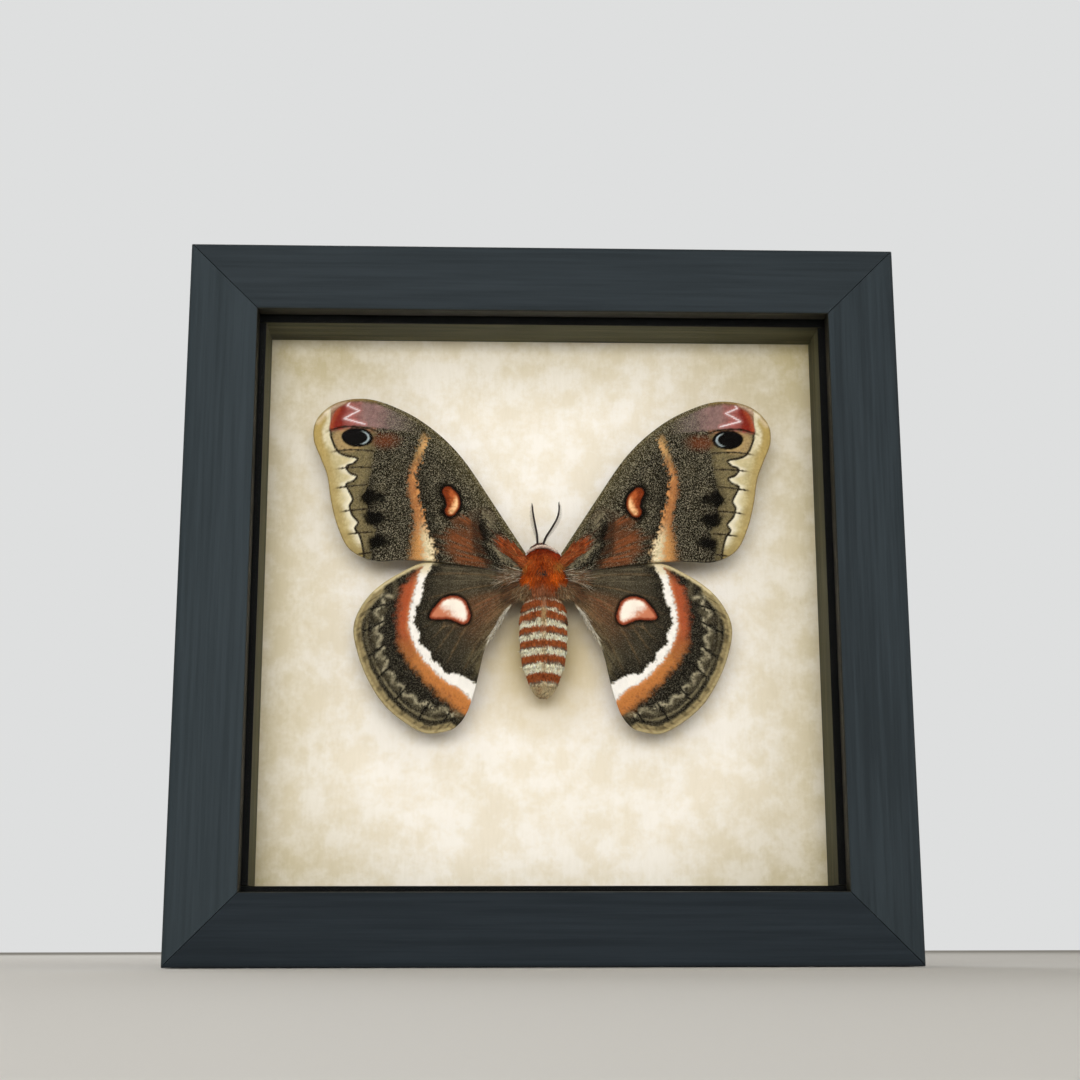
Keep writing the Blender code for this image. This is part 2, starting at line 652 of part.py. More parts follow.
def thorax_locks():
    """Long hair lying back over the thorax, forward at the collar, and out over the wings' roots."""
    made = []

    def along_body(row, upward):
        for angle in row["angles"]:
            spot, out = body_spot(THORAX_PROFILE, THORAX_DEPTH, THORAX_FLAT, angle, row["z"])
            sideways = Vector((math.sin(math.radians(angle)), 0.0, 0.0)) * 0.35
            lie = Vector((0.0, 0.0, 1.0 if upward else -1.0)) + (-sideways if upward else sideways)
            lie = (lie - out * lie.dot(out)).normalized()
            reach = row["long"] * (0.9 + 0.2 * ((len(made) * 7) % 5) / 4) * MM
            made.append(flat_lock(
                f"lock_{len(made)}", spot - out * LOCK_SUNK, spot + lie * reach * 0.5 + out * row["lift"] * 1.5 * MM,
                spot + lie * reach + out * row["lift"] * 0.8 * MM, out, LOCK_WIDE, LOCK_THICK, THORAX_HAIR,
            ))

    along_body(COLLAR_ROW, True)
    for row in BACK_ROWS + BELLY_ROWS:
        along_body(row, False)
    for z in FLANK_ROW_Z:
        for sign in (-1, 1):
            root, middle, tip = (
                Vector((sign * x * MM, at_depth(d * MM), (z + dz) * MM))
                for x, d, dz in ((5.0, 13.2, 0.8), (7.8, 10.8, -0.4), (10.9, 12.0, -3.6))
            )
            made.append(flat_lock(f"lock_{len(made)}", root, middle, tip, Vector((0.0, -1.0, 0.0)),
                                  LOCK_WIDE, LOCK_THICK * 0.85, THORAX_HAIR))
    return made


def tail_tuft():
    """Short locks in a ring round the abdomen's tip."""
    made = []
    profile = abdomen_profile()
    for k in range(TAIL_TUFT_LOCKS):
        angle = 360 * (k + 0.5) / TAIL_TUFT_LOCKS
        spot, out = body_spot(profile, ABDOMEN_DEPTH, ABDOMEN_FLAT, angle, 89.5)
        tip = spot + Vector((-out.x * 0.4, -out.y * 0.4, -3.6 + 0.5 * (k % 2))) * MM
        made.append(flat_lock(f"tuft_{k}", spot - out * 1.0 * MM, spot + Vector((0.0, 0.0, -2.2)) * MM + out * 0.5 * MM,
                              tip, out, 2.9 * MM, 0.9 * MM, ABDOMEN_HAIR))
    return made


def thorax_clearance():
    """The thorax a gap larger all round, which clears what grows from it."""
    clear = as_cutter(turned("thorax_clearance", THORAX_PROFILE, THORAX_FLAT, THORAX_DEPTH, THORAX_HAIR,
                             collection=CUTTERS))
    middle = Vector((0.0, at_depth(THORAX_DEPTH), 130.0 * MM))
    for vert in clear.data.vertices:
        vert.co += (vert.co - middle).normalized() * 0.35 * MM
    return clear


def head(clear):
    """A small round head tucked under the collar, with blunt palps and a tuft between the antennae."""
    centre = Vector((HEAD_X, at_depth(HEAD_DEPTH), HEAD_Z))
    obj = ball("head", centre, HEAD_RADIUS, HEAD_HAIR, squash=(1.0, 0.92, 0.86))
    pieces = []
    for side, sign in (("left", -1), ("right", 1)):
        root = centre + Vector((sign * 0.8, 1.2, 1.2)) * MM
        tip = root + Vector((sign * 0.25, 0.75, 1.0)).normalized() * PALP_LONG
        pieces.append(tube("palp_" + side, [root, root.lerp(tip, 0.6), tip],
                           [0.55 * MM, 0.5 * MM, 0.3 * MM], HEAD_HAIR, 1))
        brow = centre + Vector((sign * 0.75, 0.1, 1.6)) * MM
        pieces.append(flat_lock("brow_" + side, brow, brow + Vector((sign * 0.2, 0.2, 1.2)) * MM,
                                brow + Vector((sign * 0.3, 0.9, 1.9)) * MM, Vector((0.0, -1.0, 0.0)),
                                1.3 * MM, 0.8 * MM, HEAD_HAIR))
    fuse(obj, pieces)
    cut(obj, clear)
    for side, sign in (("left", -1), ("right", 1)):
        spot = centre + Vector((sign * 2.55, 0.5, 0.5)) * MM
        eye = ball("eye_" + side, spot, EYE_RADIUS, EYE, 14, 9, (0.85, 1.0, 1.0))
        socket = ball("socket_" + side, spot, EYE_RADIUS + GAP, EYE, 14, 9, (0.85, 1.0, 1.0), CUTTERS)
        cut(obj, as_cutter(socket))
        cut(eye, clear)


def comb_ray(name, root, way, reach):
    """One tapering ray of an antenna's comb, its root on the shaft's middle line."""
    bm = bmesh.new()
    bmesh.ops.create_cone(bm, segments=4, radius1=COMB_ROOT / 2, radius2=COMB_TIP / 2, depth=reach, cap_ends=True)
    turn = way.to_track_quat("Z", "Y").to_matrix().to_4x4()
    turn.translation = root + way * reach / 2
    bmesh.ops.transform(bm, verts=bm.verts, matrix=turn)
    return from_bmesh(name, bm, HORN)


def antenna(side, sign):
    """A tapering shaft with two rows of rays, one outward and one back, longest at mid-length."""
    low, high = ANTENNA_PATHS[side][0][1], ANTENNA_PATHS[side][-1][1]

    def depth(z):
        return ANTENNA_ROOT_DEPTH + (ANTENNA_TIP_DEPTH - ANTENNA_ROOT_DEPTH) * (z - low) / (high - low)

    path = smooth_line([Vector((x * MM, at_depth(depth(z)), z * MM)) for x, z in ANTENNA_PATHS[side]], 1.6 * MM)
    count = len(path) - 1
    radii = [(ANTENNA_ROOT_THICK + (ANTENNA_TIP_THICK - ANTENNA_ROOT_THICK) * i / count) / 2
             for i in range(count + 1)]
    shaft = tube("antenna_" + side, path, radii, HORN, 1)
    places = smooth_line(path, COMB_PITCH)[1:-1]
    rays = []
    for i, spot in enumerate(places):
        share = (i + 1) / (len(places) + 1)
        run = (places[min(i + 1, len(places) - 1)] - places[max(i - 1, 0)]).normalized()
        outward = Vector((sign * run.z, 0.0, -sign * run.x))
        reach = COMB_LONG * (0.45 + 0.55 * math.sin(math.pi * share ** 0.8))
        for row, way in (("out", outward * 0.9 + run * 0.45), ("back", Vector((0.0, 1.0, 0.0)) + run * 0.5)):
            rays.append(comb_ray(f"ray_{row}_{i}", spot, way.normalized(), reach))
    fuse(shaft, rays)


def leg(name, sign, root_z):
    """A leg folded under the thorax: thigh, shin and five-jointed foot in one tapering run."""
    route = [(3.4, 22.1, 0.0), (5.4, 23.1, 0.7), (7.6, 23.9, 1.1), (8.1, 24.7, 0.4), (7.0, 25.4, -1.2),
             (6.0, 26.0, -2.3), (5.2, 26.3, -3.2), (4.6, 26.5, -4.0)]
    widths = [0.68, 0.78, 0.62, 0.52, 0.58, 0.42, 0.32, 0.22]
    points = [Vector((sign * x * MM, at_depth(d * MM), (root_z + dz) * MM)) for x, d, dz in route]
    return tube(name, points, [w * MM for w in widths], HORN, 1)


def insect_pin():
    bm = bmesh.new()
    bmesh.ops.create_cone(
        bm, segments=8, radius1=PIN_RADIUS, radius2=PIN_RADIUS, depth=PIN_END - PIN_FRONT,
        cap_ends=True, matrix=Matrix.Rotation(math.pi / 2, 4, "X"),
    )
    bmesh.ops.translate(bm, verts=bm.verts, vec=(0.0, at_depth((PIN_FRONT + PIN_END) / 2), PIN_Z))
    from_bmesh("pin", bm, STEEL, smooth=True)


def moth():
    thorax = turned("thorax", THORAX_PROFILE, THORAX_FLAT, THORAX_DEPTH, THORAX_HAIR)
    fuse(thorax, thorax_locks())
    cut(thorax, pin_hole((5 * MM, 25 * MM)))
    apply_modifiers(thorax)
    largest_shell(thorax)
    abdomen = turned("abdomen", abdomen_profile(), ABDOMEN_FLAT, ABDOMEN_DEPTH, ABDOMEN_HAIR, sides=20)
    fuse(abdomen, tail_tuft())
    clear = thorax_clearance()
    head(clear)
    forewing = wing_plan(FOREWING_OUTLINE, FOREWING_VEINS)
    hindwing = wing_plan(HINDWING_OUTLINE, HINDWING_VEINS)
    for side, sign in (("left", -1), ("right", 1)):
        cut(wing("forewing_" + side, forewing, sign, 0.0, FOREWING_SCALES), clear)
        cut(wing("hindwing_" + side, hindwing, sign, HINDWING_BEHIND, HINDWING_SCALES), clear)
        antenna(side, sign)
        for place, root_z in LEG_ROOTS_Z.items():
            leg(f"leg_{place}_{side}", sign, root_z)
    insect_pin()


shadow_box()
moth()
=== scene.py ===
import math

import bmesh
import bpy
import numpy as np
from mathutils import Matrix, Vector


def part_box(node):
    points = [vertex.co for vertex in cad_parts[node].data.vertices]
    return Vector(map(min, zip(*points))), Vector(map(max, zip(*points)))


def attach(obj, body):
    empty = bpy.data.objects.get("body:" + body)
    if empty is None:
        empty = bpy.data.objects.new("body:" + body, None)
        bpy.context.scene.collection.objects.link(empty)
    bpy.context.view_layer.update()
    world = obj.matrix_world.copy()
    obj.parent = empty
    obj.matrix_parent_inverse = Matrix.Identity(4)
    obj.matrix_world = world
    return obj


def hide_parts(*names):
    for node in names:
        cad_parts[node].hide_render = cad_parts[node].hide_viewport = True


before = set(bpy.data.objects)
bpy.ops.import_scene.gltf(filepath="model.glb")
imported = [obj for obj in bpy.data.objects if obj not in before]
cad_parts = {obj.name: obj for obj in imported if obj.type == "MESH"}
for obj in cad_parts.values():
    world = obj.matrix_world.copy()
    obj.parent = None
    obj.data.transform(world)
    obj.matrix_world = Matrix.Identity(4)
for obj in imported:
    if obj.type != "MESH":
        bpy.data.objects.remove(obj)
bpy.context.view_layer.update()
MM = 0.001


# Stage: a plain pale floor, soft studio light and the camera, low and tipped up at the standing box.
# A wide soft panel behind the camera lights the inside of the box and isn't mirrored in the glass.
# The key stands above it, the fill at the right, and the rim light behind the box.

def tone(red, green, blue):
    """A colour read on a screen, from 0 to 255, in the linear values that Blender uses."""
    return tuple((((c / 255) + 0.055) / 1.055) ** 2.4 for c in (red, green, blue)) + (1.0,)


def node(tree, kind, inputs=None, **settings):
    """Adds a node. An input that is given as a socket is linked, and any other value is set."""
    made = tree.nodes.new(kind)
    for name, value in settings.items():
        setattr(made, name, value)
    for name, value in (inputs or {}).items():
        if isinstance(value, bpy.types.NodeSocket):
            tree.links.new(value, made.inputs[name])
        else:
            made.inputs[name].default_value = value
    return made


def new_finish(name, **constants):
    """A material with one Principled shader, whose plain sockets are set here."""
    material = bpy.data.materials.new(name)
    material.use_nodes = True
    tree = material.node_tree
    shader = tree.nodes["Principled BSDF"]
    for socket, value in constants.items():
        shader.inputs[socket.replace("_", " ")].default_value = value
    return material, tree, shader


def link(tree, source, target):
    tree.links.new(source, target)


def in_scene(name, data):
    """A new object of this data, linked in the scene."""
    made = bpy.data.objects.new(name, data)
    bpy.context.collection.objects.link(made)
    return made


FLOOR_HALF = 4.0
FLOOR_LEVEL = -0.2 * MM
FLOOR_TONE = tone(226, 224, 219)
CAMERA_PLACE = (-21.4 * MM, -600.8 * MM, 5.6 * MM)
CAMERA_TIP_UP = 12.80
CAMERA_TURN = -1.95
CAMERA_ROLL = -0.12
LENS = 60.0
SENSOR = 36.0
WORLD_STRENGTH = 0.30
ROOM_TONE = tone(244, 239, 229)
BACKDROP_TONE = tone(222, 223, 223)

floor_mesh = bpy.data.meshes.new("floor")
floor_corners = [(-FLOOR_HALF, -FLOOR_HALF), (FLOOR_HALF, -FLOOR_HALF), (FLOOR_HALF, FLOOR_HALF),
                 (-FLOOR_HALF, FLOOR_HALF)]
floor_mesh.from_pydata([(x, y, FLOOR_LEVEL) for x, y in floor_corners], [], [(0, 1, 2, 3)])
floor = in_scene("floor", floor_mesh)
floor_mesh.materials.append(new_finish("pale floor", Base_Color=FLOOR_TONE, Roughness=0.8)[0])

world = bpy.data.worlds.new("soft room")
world.use_nodes = True
room = world.node_tree.nodes["Background"]
room.inputs["Color"].default_value = ROOM_TONE
room.inputs["Strength"].default_value = WORLD_STRENGTH
seen = node(world.node_tree, "ShaderNodeBackground", {"Color": BACKDROP_TONE, "Strength": 1.0})
straight_at_it = node(world.node_tree, "ShaderNodeLightPath").outputs["Is Camera Ray"]
both = node(world.node_tree, "ShaderNodeMixShader",
            {0: straight_at_it, 1: room.outputs[0], 2: seen.outputs[0]})
link(world.node_tree, both.outputs[0], world.node_tree.nodes["World Output"].inputs["Surface"])
bpy.context.scene.world = world
bpy.context.scene.view_settings.view_transform = "Standard"

LIGHTS = {
    "front": dict(place=(-0.08, -1.5, 0.33), size=(1.5, 0.56), power=4.15, aim=0.12, spread=80.0,
                  mirrored=False),
    "key": dict(place=(-0.35, -1.15, 1.25), size=(1.6, 1.6), power=3.7, aim=0.12, spread=180.0,
                mirrored=True),
    "fill": dict(place=(1.3, -0.9, 0.7), size=(1.0, 1.0), power=3.0, aim=0.12, spread=180.0, mirrored=True),
    "rim": dict(place=(-0.4, 1.3, 1.1), size=(0.9, 0.9), power=8.0, aim=0.15, spread=180.0, mirrored=True),
}
for light_name, light in LIGHTS.items():
    lamp = bpy.data.lights.new(light_name, "AREA")
    lamp.shape = "RECTANGLE"
    lamp.size, lamp.size_y = light["size"]
    lamp.energy = light["power"]
    lamp.spread = math.radians(light["spread"])
    lamp_object = in_scene(light_name, lamp)
    lamp_object.visible_glossy = light["mirrored"]
    lamp_object.visible_transmission = light["mirrored"]
    lamp_object.location = light["place"]
    toward = Vector((0.0, 0.0, light["aim"])) - Vector(light["place"])
    lamp_object.rotation_euler = toward.to_track_quat("-Z", "Y").to_euler()

camera = in_scene("camera", bpy.data.cameras.new("camera"))
camera.data.lens = LENS
camera.data.sensor_width = SENSOR
camera.data.clip_start = 0.01
camera.location = CAMERA_PLACE
camera.rotation_euler = (Matrix.Rotation(math.radians(CAMERA_TURN), 3, "Z")
                         @ Matrix.Rotation(math.radians(90.0 + CAMERA_TIP_UP), 3, "X")
                         @ Matrix.Rotation(math.radians(CAMERA_ROLL), 3, "Z")).to_euler()
bpy.context.scene.camera = camera


# Rails: four mitred lengths of straight-grained wood moulding with rounded front edges, glued at the mitres.
# They are painted a dark slate blue that lets the fine grain show, and are rubbed a little along the edges,
# where the paint is also lightened as a painted edge highlight.
# The lip's inner face keeps the wood's olive stain.

BOX_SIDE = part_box("rail_top")[1][2]
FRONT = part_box("rail_top")[0][1]
RAIL_WIDE = BOX_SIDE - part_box("rail_top")[0][2]
PAINT_DARK = tone(34, 41, 45)
# Each rail has its own paint tones: the bottom rail's are darker as painted shade, and the left rail's
# lighter as painted light.
RAIL_PAINTS_LIT_AND_SHADED = {"top": (PAINT_DARK, tone(45, 53, 58)), "bottom": (tone(25, 32, 37), tone(36, 44, 50)),
          "left": (tone(40, 48, 52), tone(50, 59, 64)), "right": (PAINT_DARK, tone(48, 57, 62))}
PAINT_RUBBED_AND_LIT = tone(74, 82, 86)
RUBBED_AND_LIT_SHARE = 0.22
LIP_STAIN = tone(40, 39, 31)
RAIL_GRAIN = {"Lines per metre": 650.0, "Bands per metre": 95.0}


def sums(tree, operation, first, second=0.0):
    return node(tree, "ShaderNodeMath", {0: first, 1: second}, operation=operation).outputs[0]


def vectors(tree, operation, inputs):
    made = node(tree, "ShaderNodeVectorMath", inputs, operation=operation)
    return made.outputs["Value" if operation == "LENGTH" else "Vector"]


def noise(tree, place, scale, detail, roughness=0.5):
    """Noise about 0.5 over a place, with so many bumps a metre."""
    return node(tree, "ShaderNodeTexNoise", {"Vector": place, "Scale": scale, "Detail": detail,
                                             "Roughness": roughness}).outputs["Fac"]


def object_place(tree):
    return node(tree, "ShaderNodeTexCoord").outputs["Object"]


def raise_relief(tree, shader, height, strength, depth, **settings):
    """Gives the shader a bump of this height map, up to depth metres high."""
    bump = node(tree, "ShaderNodeBump", {"Height": height, "Strength": strength, "Distance": depth},
                **settings)
    link(tree, bump.outputs[0], shader.inputs["Normal"])


def grain_group():
    """Straight wood grain along the vector's X: fine lines, and broad soft bands."""
    group = bpy.data.node_groups.new("Straight grain", "ShaderNodeTree")
    for socket, kind in (("Vector", "NodeSocketVector"), ("Lines per metre", "NodeSocketFloat"),
                         ("Bands per metre", "NodeSocketFloat")):
        group.interface.new_socket(socket, in_out="INPUT", socket_type=kind)
    for socket in ("Lines", "Bands"):
        group.interface.new_socket(socket, in_out="OUTPUT", socket_type="NodeSocketFloat")
    given = node(group, "NodeGroupInput").outputs
    out = node(group, "NodeGroupOutput")
    drawn_out = vectors(group, "MULTIPLY", {0: given["Vector"], 1: (0.03, 1.0, 1.0)})
    wave = node(group, "ShaderNodeTexNoise",
                {"Vector": drawn_out, "Scale": 22.0, "Detail": 1.0}).outputs["Color"]
    bent = vectors(group, "MULTIPLY_ADD", {0: wave, 1: (0.0, 0.004, 0.004), 2: drawn_out})
    link(group, noise(group, bent, given["Lines per metre"], 3.0, 0.6), out.inputs["Lines"])
    link(group, noise(group, bent, given["Bands per metre"], 2.0), out.inputs["Bands"])
    return group


def stretch(tree, value, low, high, to_low=0.0, to_high=1.0):
    """Maps low..high to the given range, and holds it there."""
    return node(tree, "ShaderNodeMapRange", {"Value": value, "From Min": low, "From Max": high,
                                             "To Min": to_low, "To Max": to_high}).outputs["Result"]


def blend_tones(tree, share, first, second):
    """Colour that goes from first to second with share."""
    made = node(tree, "ShaderNodeMix", data_type="RGBA")
    for socket, value in ((made.inputs[0], share), (made.inputs[6], first), (made.inputs[7], second)):
        if isinstance(value, bpy.types.NodeSocket):
            link(tree, value, socket)
        else:
            socket.default_value = value
    return made.outputs[2]


def along_piece(tree, upright):
    """Object coordinates turned so that X runs along a level or an upright piece."""
    turn = (0.0, math.pi / 2, 0.0) if upright else (0.0, 0.0, 0.0)
    return node(tree, "ShaderNodeMapping", {"Vector": object_place(tree), "Rotation": turn}).outputs[0]


def rail_place(tree):
    """How far from the box's middle a spot lies, as a square ring, its place, and the parts of that."""
    place = object_place(tree)
    part = node(tree, "ShaderNodeSeparateXYZ", {0: place}).outputs
    across = sums(tree, "ABSOLUTE", part["X"])
    height = sums(tree, "ABSOLUTE", sums(tree, "SUBTRACT", part["Z"], BOX_SIDE / 2))
    return sums(tree, "MAXIMUM", across, height), place, part


def edge_rub_and_highlight(tree):
    """Where the front arrises of the rails are rubbed and carry a painted highlight: 1 on the arris, and 0
    about a millimetre away.
    """
    ring, place, part = rail_place(tree)
    outer = sums(tree, "SUBTRACT", BOX_SIDE / 2, ring)
    inner = sums(tree, "SUBTRACT", ring, BOX_SIDE / 2 - RAIL_WIDE)
    deep = sums(tree, "SUBTRACT", part["Y"], FRONT)
    edge = sums(tree, "ADD", sums(tree, "MINIMUM", outer, inner), deep)
    reach = stretch(tree, noise(tree, place, 90.0, 4.0), 0.35, 0.75, 0.0002, 0.0009)
    return stretch(tree, sums(tree, "SUBTRACT", reach, edge), 0.0, 0.0006)


GRAIN = grain_group()


def grained(tree, upright, spacing):
    """The grain along a piece: its fine lines and its bands."""
    return node(tree, "ShaderNodeGroup", {"Vector": along_piece(tree, upright), **spacing},
                node_tree=GRAIN).outputs


def painted_wood(name, upright, lit_and_shaded_tones):
    material, tree, shader = new_finish(name, Specular_IOR_Level=0.22)
    grain = grained(tree, upright, RAIL_GRAIN)
    lines = stretch(tree, grain["Lines"], 0.35, 0.65)
    bands = stretch(tree, grain["Bands"], 0.3, 0.7)
    mixed = sums(tree, "ADD", sums(tree, "MULTIPLY", lines, 0.55), sums(tree, "MULTIPLY", bands, 0.35))
    paint = blend_tones(tree, mixed, *lit_and_shaded_tones)
    # Rubbed paint and a painted edge highlight along the arrises.
    paint = blend_tones(tree, sums(tree, "MULTIPLY", edge_rub_and_highlight(tree), RUBBED_AND_LIT_SHARE), paint, PAINT_RUBBED_AND_LIT)
    opening = BOX_SIDE / 2 - RAIL_WIDE
    inside = stretch(tree, rail_place(tree)[0], opening + 0.0004, opening + 0.0001)
    link(tree, blend_tones(tree, inside, paint, LIP_STAIN), shader.inputs["Base Color"])
    link(tree, stretch(tree, mixed, 0.0, 1.0, 0.56, 0.44), shader.inputs["Roughness"])
    raise_relief(tree, shader, lines, 0.35, 0.06 * MM)
    return material


def dress(node_name, material):
    """Gives a kept CAD node its finish."""
    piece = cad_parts[node_name]
    piece.data.materials.clear()
    piece.data.materials.append(material)


for edge_name, lit_and_shaded_tones in RAIL_PAINTS_LIT_AND_SHADED.items():
    upright = edge_name in ("left", "right")
    dress(f"rail_{edge_name}", painted_wood(f"slate paint lit and shaded {edge_name}", upright, lit_and_shaded_tones))


# Glass: one 2 mm pane of coated picture glass behind the lip of the rails.
# Its low index says that it hardly mirrors the room. The lamps' light passes straight through it.

COATED_INDEX = 1.1

glass_finish, glass_tree, glass_shader = new_finish(
    "coated picture glass", Base_Color=(1.0, 1.0, 1.0, 1.0), Roughness=0.0, Metallic=0.0, IOR=COATED_INDEX,
    Transmission_Weight=1.0)
ray = node(glass_tree, "ShaderNodeLightPath")
straight = node(glass_tree, "ShaderNodeBsdfTransparent")
passed = sums(glass_tree, "MAXIMUM", ray.outputs["Is Shadow Ray"], ray.outputs["Is Diffuse Ray"])
glass_mix = node(glass_tree, "ShaderNodeMixShader",
                 {0: passed, 1: glass_shader.outputs[0], 2: straight.outputs[0]})
link(glass_tree, glass_mix.outputs[0], glass_tree.nodes["Material Output"].inputs["Surface"])
dress("glass", glass_finish)


# Spacers: four strips of stained wood that line the inside of the box behind the glass.
# The stain is a dark olive brown, and the saw's straight grain runs along each strip.
# Their front ends, just behind the glass, are painted black as painted shade in the gap there.

STAIN = tone(96, 94, 67)
STAIN_DARK = tone(52, 52, 38)
BLACK_GAP_SHADE = tone(10, 11, 11)
SPACER_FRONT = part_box("spacer_top")[0][1]
SPACER_GRAIN = {"Lines per metre": 900.0, "Bands per metre": 220.0}


def stained_wood(name, upright):
    material, tree, shader = new_finish(name, Roughness=0.7, Specular_IOR_Level=0.2)
    grain = grained(tree, upright, SPACER_GRAIN)
    lines = stretch(tree, grain["Lines"], 0.35, 0.65)
    bands = stretch(tree, grain["Bands"], 0.35, 0.65)
    mixed = sums(tree, "ADD", sums(tree, "MULTIPLY", lines, 0.5), sums(tree, "MULTIPLY", bands, 0.5))
    # Painted shade: a thin black band at the spacers' front edge, behind the glass.
    gap_shaded = stretch(tree, rail_place(tree)[2]["Y"], SPACER_FRONT + 0.0007, SPACER_FRONT + 0.0004)
    wood = blend_tones(tree, mixed, STAIN_DARK, STAIN)
    link(tree, blend_tones(tree, gap_shaded, wood, BLACK_GAP_SHADE), shader.inputs["Base Color"])
    raise_relief(tree, shader, lines, 0.4, 0.1 * MM)
    return material


for edge_name in ("top", "bottom", "left", "right"):
    upright = edge_name in ("left", "right")
    dress(f"spacer_{edge_name}", stained_wood(f"olive stain {edge_name}", upright))


# Parchment: a sheet of mottled vellum-like paper that lines the back of the box.
# Cloudy patches of cream and straw are printed in its pulp. It turns straw towards its edges, partly
# yellowing and partly painted shade from the box walls, and a brown patch behind the body is painted shadow.

PAPER_LIGHT = tone(250, 244, 233)
PAPER_MID = tone(241, 231, 211)
PAPER_STRAW = tone(186, 172, 126)
PAPER_SHADOW = tone(190, 166, 96)
MIDDLE_BELOW = 8.5 * MM
PAINTED_SHADOW_HEIGHT = 0.106

paper_finish, tree, shader = new_finish("mottled parchment", Roughness=0.85, Specular_IOR_Level=0.2)
place = object_place(tree)
part = node(tree, "ShaderNodeSeparateXYZ", {0: place}).outputs
cloud = noise(tree, place, 95.0, 6.0, 0.68)
drift = noise(tree, place, 16.0, 3.0)
# Towards the edges and corners the paper turns straw, partly yellowing and partly painted shade from the box
# walls.
aside = sums(tree, "ABSOLUTE", part["X"])
upward = sums(tree, "ABSOLUTE", sums(tree, "SUBTRACT", part["Z"], BOX_SIDE / 2 - MIDDLE_BELOW))
corner = sums(tree, "MULTIPLY", sums(tree, "ADD", aside, upward), 0.58)
paper_rim = sums(tree, "MAXIMUM", aside, sums(tree, "MULTIPLY", upward, 0.83))
paper_rim = sums(tree, "MAXIMUM", paper_rim, corner)
straw_aged_and_shaded = stretch(tree, paper_rim, 0.062, 0.112, 0.0, 0.92)
straw_aged_and_shaded = sums(tree, "ADD", straw_aged_and_shaded, stretch(tree, drift, 0.46, 0.72, 0.0, 0.14))
paper_tone = blend_tones(tree, stretch(tree, cloud, 0.4, 0.58), PAPER_MID, PAPER_LIGHT)
straw_share = sums(tree, "MULTIPLY", straw_aged_and_shaded, stretch(tree, cloud, 0.66, 0.4, 0.66, 1.0))
along_fibre = node(tree, "ShaderNodeMapping", {"Vector": place, "Scale": (1.0, 1.0, 0.16)}).outputs[0]
fibre = stretch(tree, noise(tree, along_fibre, 1100.0, 2.0), 0.45, 0.7, 0.0, 0.05)
paper_tone = blend_tones(tree, sums(tree, "ADD", straw_share, fibre), paper_tone, PAPER_STRAW)
# Painted shadow: a brown patch on the paper behind the moth's body.
behind_body = vectors(tree, "SUBTRACT", {0: place, 1: (0.0, 0.0, PAINTED_SHADOW_HEIGHT)})
behind_body = vectors(tree, "MULTIPLY", {0: behind_body, 1: (1.0, 0.0, 0.8)})
painted_shadow = stretch(tree, vectors(tree, "LENGTH", {0: behind_body}), 0.028, 0.008, 0.0, 0.72)
link(tree, blend_tones(tree, painted_shadow, paper_tone, PAPER_SHADOW), shader.inputs["Base Color"])
raise_relief(tree, shader, noise(tree, place, 900.0, 4.0), 0.2, 0.1 * MM)
dress("parchment", paper_finish)


# Back of the box: a foam mounting board behind the parchment, closed by a hardboard panel.
# Zinc-plated points pressed into the rails hold the panel. A brass saw-tooth hanger is fixed near the top.

BOARD_TONES = (tone(236, 234, 228), tone(222, 219, 210))
HARDBOARD_TONES = (tone(142, 108, 72), tone(104, 76, 48))
ZINC_TONES = (tone(176, 180, 184), tone(138, 143, 148))
BRASS_TONES = (tone(188, 152, 84), tone(150, 116, 58))


def speckled(name, tones, scale, relief, **constants):
    """A finish mottled from a light to a dark tone by fine noise, with relief of the same grain."""
    material, tree, shader = new_finish(name, **constants)
    grain = noise(tree, object_place(tree), scale, 6.0, 0.7)
    light, dark = tones
    link(tree, blend_tones(tree, stretch(tree, grain, 0.32, 0.68), dark, light), shader.inputs["Base Color"])
    raise_relief(tree, shader, grain, 0.5, relief)
    return material


dress("mounting_board", speckled("foam board", BOARD_TONES, 300.0, 0.1 * MM, Roughness=0.9))
dress("back_panel", speckled("hardboard", HARDBOARD_TONES, 520.0, 0.25 * MM, Roughness=0.72))
zinc = speckled("zinc plate", ZINC_TONES, 700.0, 0.04 * MM, Roughness=0.38, Metallic=1.0)
brass = speckled("brass plate", BRASS_TONES, 420.0, 0.04 * MM, Roughness=0.34, Metallic=1.0)
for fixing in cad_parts:
    if fixing.startswith("glazing_point"):
        dress(fixing, zinc)
dress("hanger", brass)


# Forewings: a thin membrane over veins, covered with overlapping scales that carry the markings.
# Each wing is a smooth sheet with raised veins, between four edges: costa, outer margin, hind margin, root.
# Markings are lines and spots in millimetres, out from the body and up from the wings' root line.

WING_ROOT_Z = 130.0
WING_DEPTH = 13.7
WING_RISE = 0.8
WING_DROOP = 1.0
HALF_SPAN = 78.6
SHEET_HALF = 0.22
VEIN_RAISE = 0.26
VEIN_REACH = 0.42
RIPPLE = 0.35
EDGE_THIN = 0.35
FOREWING_GRID = (248, 160)

